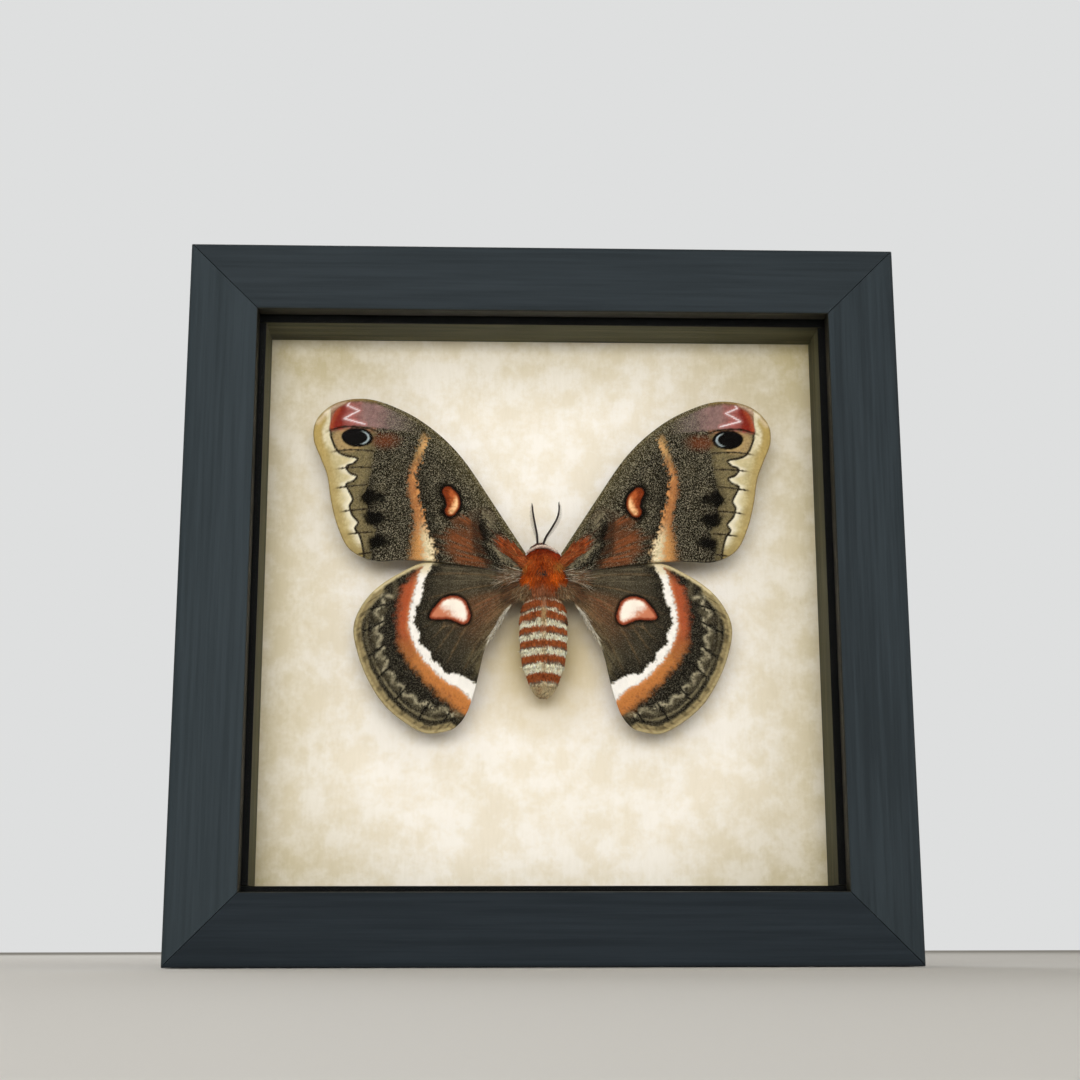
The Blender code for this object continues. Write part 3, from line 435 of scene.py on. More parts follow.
FORE_COSTA = [(6.0, 6.1), (17.7, 24.2), (28.5, 40.1), (39.4, 50.5), (50.3, 56.9), (61.1, 60.2), (71.3, 58.7),
              (77.6, 53.1)]
FORE_MARGIN = [(57.4, 3.3), (65.5, 7.3), (69.7, 15.2), (72.1, 24.0), (73.6, 32.8), (76.0, 39.1),
               (78.6, 46.1), (77.6, 53.1)]
FORE_HIND = [(6.0, -1.2), (19.0, 0.6), (33.0, 2.5), (46.6, 3.4), (57.4, 3.3)]
FORE_VEINS = [
    [(7.0, 5.2), (17.8, 21.8), (29.0, 37.8), (40.5, 48.3), (52.0, 54.6), (60.0, 57.0)],
    [(7.0, 4.2), (18.0, 18.6), (30.0, 31.0), (44.0, 43.5), (58.0, 51.5), (69.0, 56.0)],
    [(30.0, 31.0), (45.0, 39.5), (60.0, 45.8), (75.5, 49.8)],
    [(30.0, 31.0), (33.5, 28.6), (48.0, 35.0), (62.0, 39.8), (75.5, 42.2)],
    [(33.5, 28.6), (34.0, 25.0), (48.0, 29.8), (61.0, 33.3), (72.5, 34.8)],
    [(34.0, 25.0), (32.5, 21.2), (46.0, 25.0), (59.0, 27.3), (70.8, 28.0)],
    [(7.0, 3.0), (19.0, 11.2), (30.5, 18.2), (45.0, 19.6), (58.0, 20.0), (69.2, 20.0)],
    [(30.5, 18.2), (32.5, 21.2)],
    [(19.0, 11.2), (33.0, 12.6), (47.0, 12.8), (58.0, 12.4), (67.0, 11.8)],
    [(7.0, 1.4), (20.0, 4.6), (35.0, 6.8), (50.0, 6.8), (61.5, 6.4)],
]


def smooth_curve(points, per_span=12, before=None, after=None):
    """A Catmull-Rom curve through the given points, which may come from one point and go on to another."""
    points = np.array(points, float)
    ends = np.vstack([points[:1] if before is None else [before], points,
                      points[-1:] if after is None else [after]])
    share = np.linspace(0.0, 1.0, per_span, endpoint=False)[:, None]
    pieces = []
    for a, b, c, d in zip(ends, ends[1:], ends[2:], ends[3:]):
        pieces.append(0.5 * (2 * b + (c - a) * share + (2 * a - 5 * b + 4 * c - d) * share ** 2
                             + (3 * b - 3 * c + d - a) * share ** 3))
    return np.vstack(pieces + [points[-1:]])


def evenly(curve, count):
    """Points that share a curve's length out evenly."""
    run = np.concatenate([[0.0], np.cumsum(np.hypot(*np.diff(curve, axis=0).T))])
    at = np.linspace(0.0, run[-1], count)
    return np.stack([np.interp(at, run, curve[:, k]) for k in range(2)], 1)


def to_line(spots, line):
    """For each spot, its distance to a line, the side that it lies on, and how far along the line it is."""
    nearest = np.full(len(spots), np.inf)
    side = np.zeros(len(spots))
    along = np.zeros(len(spots))
    run = 0.0
    for start, end in zip(line[:-1], line[1:]):
        step = end - start
        length = max(np.hypot(*step), 1e-9)
        share = np.clip(((spots - start) @ step) / length ** 2, 0.0, 1.0)
        off = spots - start - share[:, None] * step
        gap = np.hypot(off[:, 0], off[:, 1])
        cross = step[0] * (spots[:, 1] - start[1]) - step[1] * (spots[:, 0] - start[0])
        closer = gap < nearest
        nearest = np.where(closer, gap, nearest)
        side = np.where(closer, np.sign(cross), side)
        along = np.where(closer, run + share * length, along)
        run += length
    return nearest, side, along / run


def lattice(x, y, seed):
    """Smooth noise from 0 to 1, with bumps about one unit across."""
    whole_x, whole_y = np.floor(x).astype(np.int64), np.floor(y).astype(np.int64)
    part_x, part_y = x - whole_x, y - whole_y
    part_x, part_y = part_x ** 2 * (3 - 2 * part_x), part_y ** 2 * (3 - 2 * part_y)

    def corner(dx, dy):
        mixed = ((whole_x + dx) * 374761393 + (whole_y + dy) * 668265263 + seed * 974634777) & 0xFFFFFFFF
        mixed = ((mixed ^ (mixed >> 13)) * 1274126177) & 0xFFFFFFFF
        return ((mixed ^ (mixed >> 16)) & 0xFFFF) / 65535.0

    low = corner(0, 0) * (1 - part_x) + corner(1, 0) * part_x
    high = corner(0, 1) * (1 - part_x) + corner(1, 1) * part_x
    return low * (1 - part_y) + high * part_y


def mottle(u, v, size, seed):
    """Smooth noise about 0, with bumps of this size."""
    return lattice(u / size, v / size, seed) - 0.5


def ease(value, low, high):
    """0 below low, 1 above high, smooth between; low may be the larger."""
    share = np.clip((value - low) / (high - low), 0.0, 1.0)
    return share * share * (3 - 2 * share)


def plain_paint(colour, count):
    """The same colour for each of so many spots."""
    return np.tile(np.array(tone(*colour)[:3]), (count, 1))


def lay(paint, colour, share):
    """Lays a colour over the paint by share."""
    paint += (np.array(tone(*colour)[:3]) - paint) * np.clip(share, 0.0, 1.0)[:, None]


def to_curve(spots, points, per_span=12):
    """What to_line says of the smooth curve through some points."""
    return to_line(spots, smooth_curve(points, per_span))


def keep_paint(mesh, paint):
    """Stores a colour for each point as the attribute 'scales', which the finishes read."""
    layer = mesh.attributes.new("scales", "FLOAT_COLOR", "POINT")
    layer.data.foreach_set("color", np.hstack([paint, np.ones((len(paint), 1))]).astype(np.float32).ravel())


def four_sided(root, costa, margin, hind, grid):
    """Points between four edge curves, row by row from the root out, and their shares along and across."""
    along, across = np.linspace(0, 1, grid[0]), np.linspace(0, 1, grid[1])
    top, bottom = evenly(costa, grid[0])[:, None], evenly(hind, grid[0])[:, None]
    near, far = evenly(root, grid[1])[None], evenly(margin, grid[1])[None]
    s, t = along[:, None, None], across[None, :, None]
    spots = ((1 - t) * bottom + t * top + (1 - s) * near + s * far
             - (1 - s) * (1 - t) * bottom[0] - (1 - s) * t * top[0]
             - s * (1 - t) * bottom[-1] - s * t * top[-1])
    shares = np.stack(np.broadcast_arrays(s[..., 0], t[..., 0]), -1)
    return spots.reshape(-1, 2), shares.reshape(-1, 2)


def from_arrays(name, points, faces, material, colours, extra=None):
    """A smooth-shaded object from arrays of points and faces."""
    mesh = bpy.data.meshes.new(name)
    mesh.vertices.add(len(points))
    mesh.vertices.foreach_set("co", np.ascontiguousarray(points, np.float32).ravel())
    mesh.loops.add(faces.size)
    mesh.loops.foreach_set("vertex_index", np.ascontiguousarray(faces, np.int32).ravel())
    mesh.polygons.add(len(faces))
    mesh.polygons.foreach_set("loop_start", np.arange(len(faces), dtype=np.int32) * faces.shape[1])
    mesh.update(calc_edges=True)
    mesh.polygons.foreach_set("use_smooth", np.ones(len(faces), bool))
    keep_paint(mesh, colours)
    for attribute, values in (extra or {}).items():
        layer = mesh.attributes.new(attribute, "FLOAT", "POINT")
        layer.data.foreach_set("value", values.astype(np.float32))
    mesh.materials.append(material)
    return in_scene(name, mesh)


def placed(points):
    """Millimetres with a depth from the front face, as metres in the frame."""
    out = np.array(points, float) * MM
    out[..., 1] += FRONT
    return out


def wing_depth(out):
    """Depth of the wings' middle surface: raised along mid-span, drooping back at the tip."""
    share = np.minimum(np.abs(out) / HALF_SPAN, 1.0)
    return WING_DEPTH - WING_RISE * np.sin(math.pi * share) + WING_DROOP * share ** 3


def wing_sheet(name, side, spots, grid, veins, behind, paint, dusting, material):
    """A closed sheet over the grid of spots, its front raised along the veins."""
    crest = np.zeros(len(spots))
    for vein in veins:
        gap = to_curve(spots, vein, 6)[0]
        crest = np.maximum(crest, np.exp(-(gap / VEIN_REACH) ** 2))
    ripple = RIPPLE * mottle(spots[:, 0], spots[:, 1], 7.0, 5)
    rows, columns = grid
    index = np.arange(rows * columns).reshape(rows, columns)
    edge = np.ones((rows, columns))
    edge[[0, -1], :] = EDGE_THIN
    edge[:, [0, -1]] = EDGE_THIN
    depth = wing_depth(spots[:, 0]) + behind + ripple
    half = SHEET_HALF * edge.ravel()
    front = depth - half - VEIN_RAISE * crest * edge.ravel()
    back = depth + half + 0.5 * VEIN_RAISE * crest * edge.ravel()
    out, up = side * spots[:, 0], WING_ROOT_Z + spots[:, 1]
    points = placed(np.concatenate([np.stack([out, front, up], 1), np.stack([out, back, up], 1)]))
    quads = np.stack([index[:-1, :-1], index[1:, :-1], index[1:, 1:], index[:-1, 1:]], -1).reshape(-1, 4)
    rim = np.concatenate([index[:, 0], index[-1, 1:], index[-2::-1, -1], index[0, -2:0:-1]])
    after = np.roll(rim, -1)
    count = rows * columns
    walls = np.stack([after, rim, rim + count, after + count], 1)
    faces = np.concatenate([quads, quads[:, ::-1] + count, walls])
    if side < 0:
        faces = faces[:, ::-1]
    return from_arrays(name, points, faces, material, np.vstack([paint, paint]),
                       {"dusting": np.tile(dusting, 2)})


# Marking lines of the forewing
POSTMEDIAL_OUTER = [(41.1, 49.0), (41.3, 47.3), (42.5, 43.4), (44.0, 38.9), (45.1, 35.6), (45.8, 32.3),
                    (45.7, 28.4), (45.0, 24.6), (44.3, 20.8), (43.8, 18.0), (43.7, 14.8), (43.8, 8.3),
                    (44.2, 2.0)]
POSTMEDIAL_INNER = [(38.9, 49.0), (39.3, 47.3), (40.1, 43.4), (41.0, 39.0), (42.5, 35.6), (43.2, 32.3),
                    (42.7, 28.5), (41.6, 24.6), (41.0, 20.8), (40.1, 17.0), (39.2, 13.7), (37.4, 9.9),
                    (36.4, 6.7), (36.4, 2.0)]
SUBMARGINAL = [(72.9, 49.5), (72.6, 47.0), (71.7, 44.2), (69.9, 41.2), (67.2, 39.9), (63.4, 39.0),
               (64.5, 37.4), (67.1, 36.0), (65.8, 33.8), (63.5, 32.7), (64.7, 31.0), (67.0, 29.9),
               (66.2, 27.7), (64.7, 24.7), (65.7, 22.2), (64.8, 19.2), (62.7, 16.5), (63.7, 14.4),
               (62.2, 12.2), (61.3, 9.2), (60.7, 6.2), (60.3, 2.0)]
FIELD_EDGE = [(57.0, 49.0), (57.5, 42.7), (58.0, 38.8), (58.3, 35.5), (59.2, 32.2), (59.8, 28.9),
              (61.2, 25.6), (59.8, 22.3), (59.4, 19.6), (59.2, 16.8), (57.2, 14.2), (57.4, 12.2),
              (58.4, 9.2), (58.3, 4.9), (58.3, 2.0)]
TIP_EDGE = [(66.4, 60.5), (67.3, 58.6), (70.7, 56.5), (72.4, 53.1), (73.1, 49.8), (72.7, 47.0)]
APEX_FLOOR = [(43.0, 47.0), (46.3, 48.3), (54.0, 49.4), (61.2, 50.2), (66.6, 49.8), (72.5, 48.7),
              (80.0, 47.0)]
VEIN_DASHES = [
    [(75.6, 47.9), (68.8, 50.2), (61.2, 49.9), (57.0, 48.6)],
    [(73.8, 41.1), (66.2, 42.0), (58.0, 41.6)],
    [(71.6, 35.1), (65.4, 35.8), (57.8, 35.7)],
    [(71.6, 28.3), (65.1, 29.3), (59.9, 29.7)],
    [(69.5, 20.1), (64.1, 20.9), (59.5, 21.2)],
    [(66.9, 12.2), (62.1, 12.9), (57.8, 13.1)],
    [(63.1, 5.4), (60.1, 5.8), (58.6, 6.0)],
]
BLACK_BLOBS = [((59.6, 25.2), 2.1), ((58.6, 18.0), 1.9), ((57.4, 9.8), 1.7)]
ZIGZAG = [(66.5, 58.8), (67.3, 57.9), (63.2, 56.0), (68.3, 53.2), (61.1, 51.1)]
EYESPOT = (63.6, 46.4)
EYESPOT_HALF = (5.4, 3.4)
KIDNEY = [(32.5, 27.3), (31.0, 25.1), (30.6, 22.6), (31.5, 20.6)]
KIDNEY_HALF = (1.6, 2.35)
RUST_LINES = [([(35.0, 11.6), (28.0, 12.2), (20.8, 11.6)], 2.5),
              ([(34.5, 7.6), (27.5, 7.6), (20.6, 6.8)], 2.2),
              ([(32.0, 17.2), (26.5, 16.4), (21.2, 14.2)], 1.5),
              ([(32.0, 3.6), (26.0, 3.8), (19.6, 2.8)], 1.5)]
ROOT_ZIGZAG = [(20.6, 16.6), (20.3, 14.4), (19.1, 11.7), (19.8, 8.6), (17.0, 5.4), (15.0, 2.6), (11.6, 0.0)]
ROOT_RUST = [(4.0, 2.6), (8.5, 5.2), (13.0, 8.2), (16.6, 12.6)]


def wing_pair(name, costa, margin, hind, grid, veins, behind, painted):
    """Makes a pair of wings, left and then right, from their edges, veins and painting rule."""
    edges = [smooth_curve(costa, after=margin[-2]), smooth_curve(margin, before=hind[-2], after=costa[-2]),
             smooth_curve(hind, after=margin[1])]
    root = np.linspace(hind[0], costa[0], 12)
    spots, shares = four_sided(root, *edges, grid)
    paint, dusting = painted(spots, shares, edges)
    for side_name, side in SIDES.items():
        yield side_name, wing_sheet(f"{name}_{side_name}", side, spots, grid, veins, behind, paint, dusting,
                                    SCALES)


def warmed(paint):
    """The darker tones drawn a little towards yellow, as a painted warm cast of the light."""
    shade = 1 - ease(paint.mean(1), 0.25, 0.65)
    return np.clip(paint * (1 - shade[:, None] * np.array([0.0, 0.05, 0.2])), 0.0, 1.0)


def paint_forewing(spots, shares, edges):
    """Colours and pale dusting of the forewing at each spot."""
    u, v = spots[:, 0], spots[:, 1]
    from_costa, from_margin, from_hind = (to_line(spots, edge)[0] for edge in edges)
    fine = mottle(u, v, 0.5, 1)
    coarse = mottle(u, v, 1.7, 2)
    broad = mottle(u, v, 7.0, 3)
    streak = lattice(shares[:, 0] * 8.0, shares[:, 1] * 70.0, 4) - 0.5
    fuzzy = 0.7 * fine + 0.5 * coarse

    def across(line):
        """How far out a line that runs from costa to hind margin stands at each spot's height."""
        curve = smooth_curve(line)[::-1]
        return np.interp(v, curve[:, 1], curve[:, 0])

    outer, inner = across(POSTMEDIAL_OUTER), across(POSTMEDIAL_INNER)
    wavy, field_edge = across(SUBMARGINAL), across(FIELD_EDGE)

    paint = plain_paint((38, 35, 28), len(spots))
    dusting = np.full(len(spots), 0.85)
    lay(paint, (70, 65, 51), ease(broad + 0.6 * coarse, 0.0, 0.5) * 0.4)
    lay(paint, (92, 86, 62), ease(from_costa, 8.0, 1.0) * 0.45)
    inward = (u < inner)
    shadow = inward * ease(inner - u + 2.0 * fuzzy, 6.5, 0.2) * ease(v, 46.0, 30.0)
    lay(paint, (20, 18, 15), shadow * 0.85)
    dusting *= 1 - 0.55 * shadow
    lay(paint, (34, 31, 25), inward * ease(v, 14.0, 5.0) * 0.5)
    lay(paint, (32, 29, 24), (~inward) * ease(u - outer, 5.0, 0.5) * 0.45)
    lay(paint, (38, 34, 28), (~inward) * ease(v, 26.0, 6.0) * 0.4)
    rosy = np.hypot((u - 20.5) / 6.0, (v - 18.5) / 3.6)
    lay(paint, (122, 98, 82), inward * ease(rosy + 0.3 * fuzzy, 1.2, 0.2) * 0.5)

    for line, half in RUST_LINES:
        gap, _, along = to_curve(spots, line)
        share = ease(gap + 2.4 * streak + 1.0 * fuzzy, half + 1.8, 0.2)
        share *= ease(along + 0.3 * streak, 0.0, 0.3)
        lay(paint, (128, 73, 43), share * 0.82)
        lay(paint, (66, 46, 33), share * ease(streak + 0.4 * fine, -0.05, 0.25) * 0.7)
        dusting *= 1 - 0.85 * share
    gap, side, along = to_curve(spots, ROOT_ZIGZAG)
    near = ease(gap + fuzzy, 5.4, 3.0)
    dusting *= 1 - 0.4 * near
    lay(paint, (30, 27, 22), near * 0.8)
    lay(paint, (128, 121, 103), (side < 0) * ease(gap + 1.4 * fuzzy, 5.2, 2.4)
        * ease(streak + fine, -0.5, 0.3) * 0.7)
    lay(paint, (14, 13, 11), ease(gap + 1.6 * fuzzy + 0.8 * streak, 2.1, 0.8) * 0.93)
    lay(paint, (30, 26, 21), (side < 0) * ease(np.abs(gap - 5.2) + 0.9 * fuzzy, 0.8, 0.2) * 0.6)
    gap, _, along = to_curve(spots, ROOT_RUST)
    share = ease(gap + 1.4 * streak + 1.2 * fuzzy, 3.8 - 1.8 * along, 1.0)
    lay(paint, (26, 22, 18), ease(gap + fuzzy, 3.8 - 1.4 * along, 2.8 - 1.4 * along) * 0.6)
    share *= ease(along + 0.3 * streak, 0.98, 0.66)
    lay(paint, (150, 66, 28), share * 0.95)
    lay(paint, (186, 100, 50), share * ease(fine + streak, 0.2, 0.7) * 0.45)
    dusting *= 1 - 0.9 * share

    in_band = (u - inner) / (outer - inner)
    wobble = (2.4 * fine + 0.9 * coarse) / (outer - inner)
    band = ease(in_band + wobble, -0.1, 0.3) * ease(in_band + wobble, 1.35, 0.7)
    band *= ease(v + 2 * coarse, 48.6, 45.0)
    orange = ease(v + 3 * coarse, 42.0, 33.0)
    lay(paint, (196, 158, 108), band * (1 - orange) * 0.85)
    lay(paint, (176, 118, 74), band * orange * 0.92)
    lay(paint, (206, 152, 96), band * ease(fine + 0.7 * coarse, 0.0, 0.45) * 0.55)
    low_cream = band * ease(v, 19.0, 9.0) * ease(in_band + 1.2 * wobble, 0.85, 0.3)
    lay(paint, (224, 210, 172), low_cream)
    lay(paint, (202, 150, 92), band * ease(v, 16.0, 8.0) * ease(in_band + 0.5 * wobble, 0.5, 0.8) * 0.8)
    dusting *= 1 - 0.75 * band

    rim_shade = ease(field_edge - u + 1.4 * fuzzy, 4.5, 0.0) * (u < field_edge + 1.0) * ease(v, 36.0, 30.0)
    lay(paint, (22, 20, 17), rim_shade * 0.75)
    dusting *= 1 - 0.5 * rim_shade
    zone = ease(u - field_edge + fuzzy, -0.5, 0.8)
    lay(paint, (118, 108, 80), zone * 0.95)
    lay(paint, (78, 72, 54), zone * ease(u - field_edge + 0.8 * fuzzy, 3.4, 0.3) * 0.7)
    dusting *= 1 - 0.6 * zone
    for (blob_u, blob_v), blob_half in BLACK_BLOBS:
        aside = np.where(u < blob_u, 0.42 * (u - blob_u), u - blob_u)
        blob = ease(np.hypot(aside, (v - blob_v) * 0.85) + 1.5 * fuzzy, blob_half + 0.9, blob_half - 0.5)
        lay(paint, (12, 11, 10), blob * 0.94)
        dusting *= 1 - blob

    pale = ease(u - wavy, -0.1, 0.25)
    lay(paint, (198, 186, 148), pale)
    lay(paint, (236, 228, 202), pale * ease(u - wavy + 1.4 * fuzzy, 3.8, 0.4) * ease(v, 44.0, 38.0) * 0.85)
    for dash in VEIN_DASHES:
        gap = to_curve(spots, dash)[0]
        lay(paint, (150, 136, 96), pale * ease(gap + 0.4 * fuzzy, 2.4, 0.2) * ease(from_margin, 6.0, 1.5)
            * 0.5)
    lay(paint, (166, 150, 106), pale * ease(from_margin + 1.1 * fuzzy, 4.6, 1.2) * 0.8)
    tip = ease(v, 30.0, 48.0)
    rim_wide = 2.2 + 1.0 * tip
    lay(paint, (176, 154, 98), pale * ease(from_margin + 0.7 * fuzzy, rim_wide + 1.6, rim_wide - 1.2)
        * (0.3 + 0.6 * tip))
    lay(paint, (228, 219, 190), pale * ease(v, 40.0, 47.0) * ease(from_margin + 0.8 * fuzzy, 2.2, 4.2) * 0.6)
    lay(paint, (122, 104, 66), ease(from_margin + 0.2 * fine, 0.6, 0.1) * 0.6 * pale)
    lay(paint, (132, 120, 84), pale * ease(v + 2 * coarse, 14.0, 4.0) * 0.6)
    dusting *= 1 - 0.85 * pale

    around_eye = np.hypot((u - 66.5) / 6.2, (v - 45.6) / 4.6)
    lay(paint, (172, 148, 108), zone * (1 - pale) * ease(around_eye + 0.1 * fuzzy, 1.1, 0.8) * 0.85)
    lay(paint, (150, 92, 76), zone * (1 - pale) * ease(v + 0.8 * fuzzy, 47.6, 49.6) * 0.6)
    rusty = np.hypot((u - 54.2) / 6.6, (v - 45.2) / 3.8)
    rusty = ease(rusty + 0.3 * fuzzy, 1.1, 0.2)
    lay(paint, (106, 58, 38), rusty * 0.8)
    dusting *= 1 - 0.6 * rusty

    floor_gap, floor_side, _ = to_curve(spots, APEX_FLOOR)
    tip_gap, tip_side, _ = to_curve(spots, TIP_EDGE)
    patch = (ease(floor_gap * floor_side + 0.5 * fuzzy, -0.4, 0.6)
             * ease(tip_gap * tip_side + 0.3 * fuzzy, 0.4, -0.3)
             * ease(from_costa + 0.5 * fuzzy, 0.7, 1.7))
    lay(paint, (106, 95, 96), patch * ease(u + 2 * fuzzy, 42.0, 51.0) * 0.9)
    lay(paint, (138, 110, 114), patch * ease(u + 2 * coarse, 50.0, 58.0) * 0.9)
    lay(paint, (150, 86, 86), patch * ease(u + 2 * coarse, 60.5, 66.5))
    lay(paint, (126, 38, 30), patch * ease(u + 1.5 * coarse, 66.0, 69.5))
    lay(paint, (88, 26, 22), patch * ease(u + 1.5 * coarse, 66.0, 68.5) * ease(from_costa, 3.6, 1.4) * 0.8)
    lay(paint, (182, 92, 60), patch * ease(tip_gap + 0.3 * fuzzy, 1.8, 0.4) * ease(u, 68.5, 70.5) * 0.5)
    lay(paint, (232, 216, 200), ease(from_costa, 2.8, 0.8) * (tip_side > 0) * ease(u, 64, 68)
        * ease(tip_gap, 0.1, 0.8) * 0.4)
    dusting *= 1 - 0.75 * patch * ease(u, 46, 58)
    zig_gap = to_line(spots, np.array(ZIGZAG, float))[0]
    lay(paint, (186, 124, 128), patch * ease(zig_gap, 1.3, 0.3) * 0.6)
    lay(paint, (240, 230, 232), ease(zig_gap + 0.15 * fine, 0.36, 0.1) * ease(from_costa, 0.8, 1.5) * 0.85)

    lay(paint, (86, 78, 52), ease(from_costa + 0.7 * fuzzy, 1.9, 0.7) * ease(u, 68.0, 60.0) * 0.85)
    lay(paint, (140, 122, 76), ease(from_costa + 0.3 * fuzzy, 1.0, 0.3) * ease(u, 52.0, 60.0) * 0.7)

    for dash in VEIN_DASHES:
        gap, _, along = to_curve(spots, dash)
        lay(paint, (32, 23, 17), ease(gap + 0.08 * fine, 0.44, 0.18) * ease(along, 0.0, 0.25))
    line_gap = to_curve(spots, SUBMARGINAL)[0]
    lay(paint, (28, 22, 17), ease(line_gap + 0.1 * fine, 0.54, 0.24) * ease(v, 52, 47))

    turn = math.radians(4.0)
    across_eye = ((u - EYESPOT[0]) * math.cos(turn) + (v - EYESPOT[1]) * math.sin(turn)) / EYESPOT_HALF[0]
    up_eye = ((v - EYESPOT[1]) * math.cos(turn) - (u - EYESPOT[0]) * math.sin(turn)) / EYESPOT_HALF[1]
    eye = np.hypot(across_eye, up_eye)
    lay(paint, (12, 11, 12), ease(eye + 0.05 * fine, 1.06, 0.96))
    arc = ease(np.abs(np.hypot(across_eye + 0.02, up_eye) - 0.7), 0.085, 0.03)
    lay(paint, (166, 180, 192), arc * ease(-across_eye, 0.15, 0.5) * 0.9)
    dusting *= 1 - ease(eye, 1.3, 1.0)

    gap, _, along = to_curve(spots, KIDNEY)
    narrow, wide = KIDNEY_HALF
    half = narrow + (wide - narrow) * np.sin(math.pi * np.clip(0.1 + 0.75 * along, 0, 1))
    halo = ease(gap - half + 0.6 * fuzzy, 1.6 + 1.5 * ease(u, 31.0, 34.0), 0.6)
    lay(paint, (15, 13, 11), halo * 0.95)
    spot = ease(gap - half + 0.3 * fuzzy, 0.2, -0.4)
    lay(paint, (120, 52, 27), spot)
    lay(paint, (178, 94, 52), spot * ease((32.8 - u) / 3.0 + 0.4 * fuzzy, 0.0, 0.9)
        * ease(gap - half, -0.2, -1.1))
    glow = ease((31.0 - u) / 2.4 + (24.6 - v) / 6.0 + 0.3 * fuzzy, 0.0, 0.9)
    lay(paint, (232, 186, 136), spot * glow * ease(gap - half, -0.4, -1.2))
    dusting *= 1 - halo

    lay(paint, (40, 36, 28), ease(from_hind + 0.4 * fuzzy, 1.0, 0.2) * 0.5 * (u < 60))
    paint *= (1 + 0.5 * fine * (1 - 0.6 * pale) + 0.12 * coarse)[:, None]
    return warmed(paint), np.clip(dusting, 0.0, 1.0)


def wing_finish():
    """Matt scales in their own colours, dusted with single pale and dark scales where the dusting says."""
    material, tree, shader = new_finish("moth scales", Roughness=0.85, Specular_IOR_Level=0.04)
    paint = node(tree, "ShaderNodeAttribute", attribute_name="scales").outputs["Color"]
    amount = node(tree, "ShaderNodeAttribute", attribute_name="dusting").outputs["Fac"]
    place = object_place(tree)
    single = node(tree, "ShaderNodeTexVoronoi", {"Vector": place, "Scale": 6200.0}).outputs["Color"]
    single = node(tree, "ShaderNodeSeparateColor", {0: single}).outputs[0]
    bunch = stretch(tree, noise(tree, place, 2400.0, 1.0), 0.3, 0.7, 0.0, 0.55)
    pick = sums(tree, "ADD", sums(tree, "MULTIPLY", single, 0.45), bunch)
    light = sums(tree, "MULTIPLY", stretch(tree, pick, 0.63, 0.7, 0.0, 0.9), amount)
    dark = sums(tree, "MULTIPLY", stretch(tree, pick, 0.45, 0.3, 0.0, 0.85), amount)
    colour = blend_tones(tree, dark, paint, DARK_SCALE)
    link(tree, blend_tones(tree, light, colour, PALE_SCALE), shader.inputs["Base Color"])
    raise_relief(tree, shader, noise(tree, place, 3200.0, 2.0), 0.5, 0.1 * MM)
    return material


DARK_SCALE = tone(16, 14, 11)
PALE_SCALE = tone(150, 142, 118)
SCALES = wing_finish()
SIDES = {"left": -1, "right": 1}

for side_name, wing in wing_pair("scaled_forewing", FORE_COSTA, FORE_MARGIN, FORE_HIND, FOREWING_GRID,
                                 FORE_VEINS, 0.0, paint_forewing):
    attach(wing, "root")
    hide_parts(f"forewing_{side_name}")


# Hindwings: the same scaled membrane, rounder, and set a little behind the forewings.
# Their inner fold is clothed in long soft hair.
# A white and an orange band cross each one, with a bean spot inside.

HINDWING_BEHIND = 1.5
HINDWING_GRID = (176, 190)
HIND_COSTA = [(6.5, -1.6), (24.0, 1.6), (38.5, 3.2), (48.0, -0.5), (56.5, -6.2)]
HIND_MARGIN = [(31.6, -53.9), (39.0, -54.8), (46.4, -51.0), (53.3, -45.0), (58.6, -36.8), (62.0, -28.5),
               (63.7, -20.0), (61.7, -13.0), (56.5, -6.2)]
HIND_FOLD = [(6.5, -5.6), (9.8, -10.2), (15.6, -19.1), (19.7, -27.0), (21.6, -34.7), (23.3, -41.6),
             (25.5, -47.8), (28.1, -51.7), (31.6, -53.9)]
HIND_VEINS = [
    [(7.5, -2.8), (24.0, -1.0), (38.0, -1.2), (48.0, -3.8), (54.5, -7.4)],
    [(7.5, -3.4), (22.0, -5.4), (34.0, -8.2), (47.0, -11.6), (60.0, -14.8)],
    [(34.0, -8.2), (36.0, -12.4), (48.0, -17.0), (61.5, -22.4)],
    [(36.0, -12.4), (35.5, -16.0), (47.0, -23.0), (59.8, -30.5)],
    [(35.5, -16.0), (33.5, -19.0), (43.0, -28.0), (55.8, -38.2)],
    [(7.5, -4.0), (20.0, -10.2), (29.0, -17.6), (33.5, -19.0)],
    [(29.0, -17.6), (37.5, -29.5), (49.0, -45.2)],
    [(20.0, -10.2), (27.0, -21.0), (33.5, -34.0), (41.0, -50.2)],
    [(7.5, -4.8), (17.5, -16.0), (24.0, -28.0), (29.0, -40.0), (32.5, -50.6)],
]
# Marking lines of the hindwing
WHITE_OUTER = [(39.4, 6.0), (40.8, 0.5), (42.1, -1.2), (42.7, -3.8), (43.4, -6.9), (44.2, -10.8),
               (44.9, -13.3), (45.0, -16.8), (45.2, -19.4), (44.3, -22.4), (43.2, -25.4), (41.6, -27.9),
               (39.9, -30.4), (37.6, -33.0), (35.0, -35.5), (32.4, -37.6), (29.0, -39.3), (26.4, -41.4),
               (23.9, -43.9), (19.0, -49.0)]
WHITE_INNER = [(36.4, 6.0), (37.6, 1.8), (39.3, -1.2), (40.4, -4.3), (40.8, -7.7), (41.6, -10.7),
               (42.8, -12.5), (43.3, -15.5), (43.3, -18.5), (41.6, -20.9), (41.6, -24.3), (39.4, -26.2),
               (37.9, -28.3), (37.5, -30.4), (35.0, -31.7), (33.3, -33.8), (31.8, -34.9), (29.0, -35.1),
               (26.6, -36.0), (23.9, -37.6), (21.6, -38.9), (16.0, -42.0)]
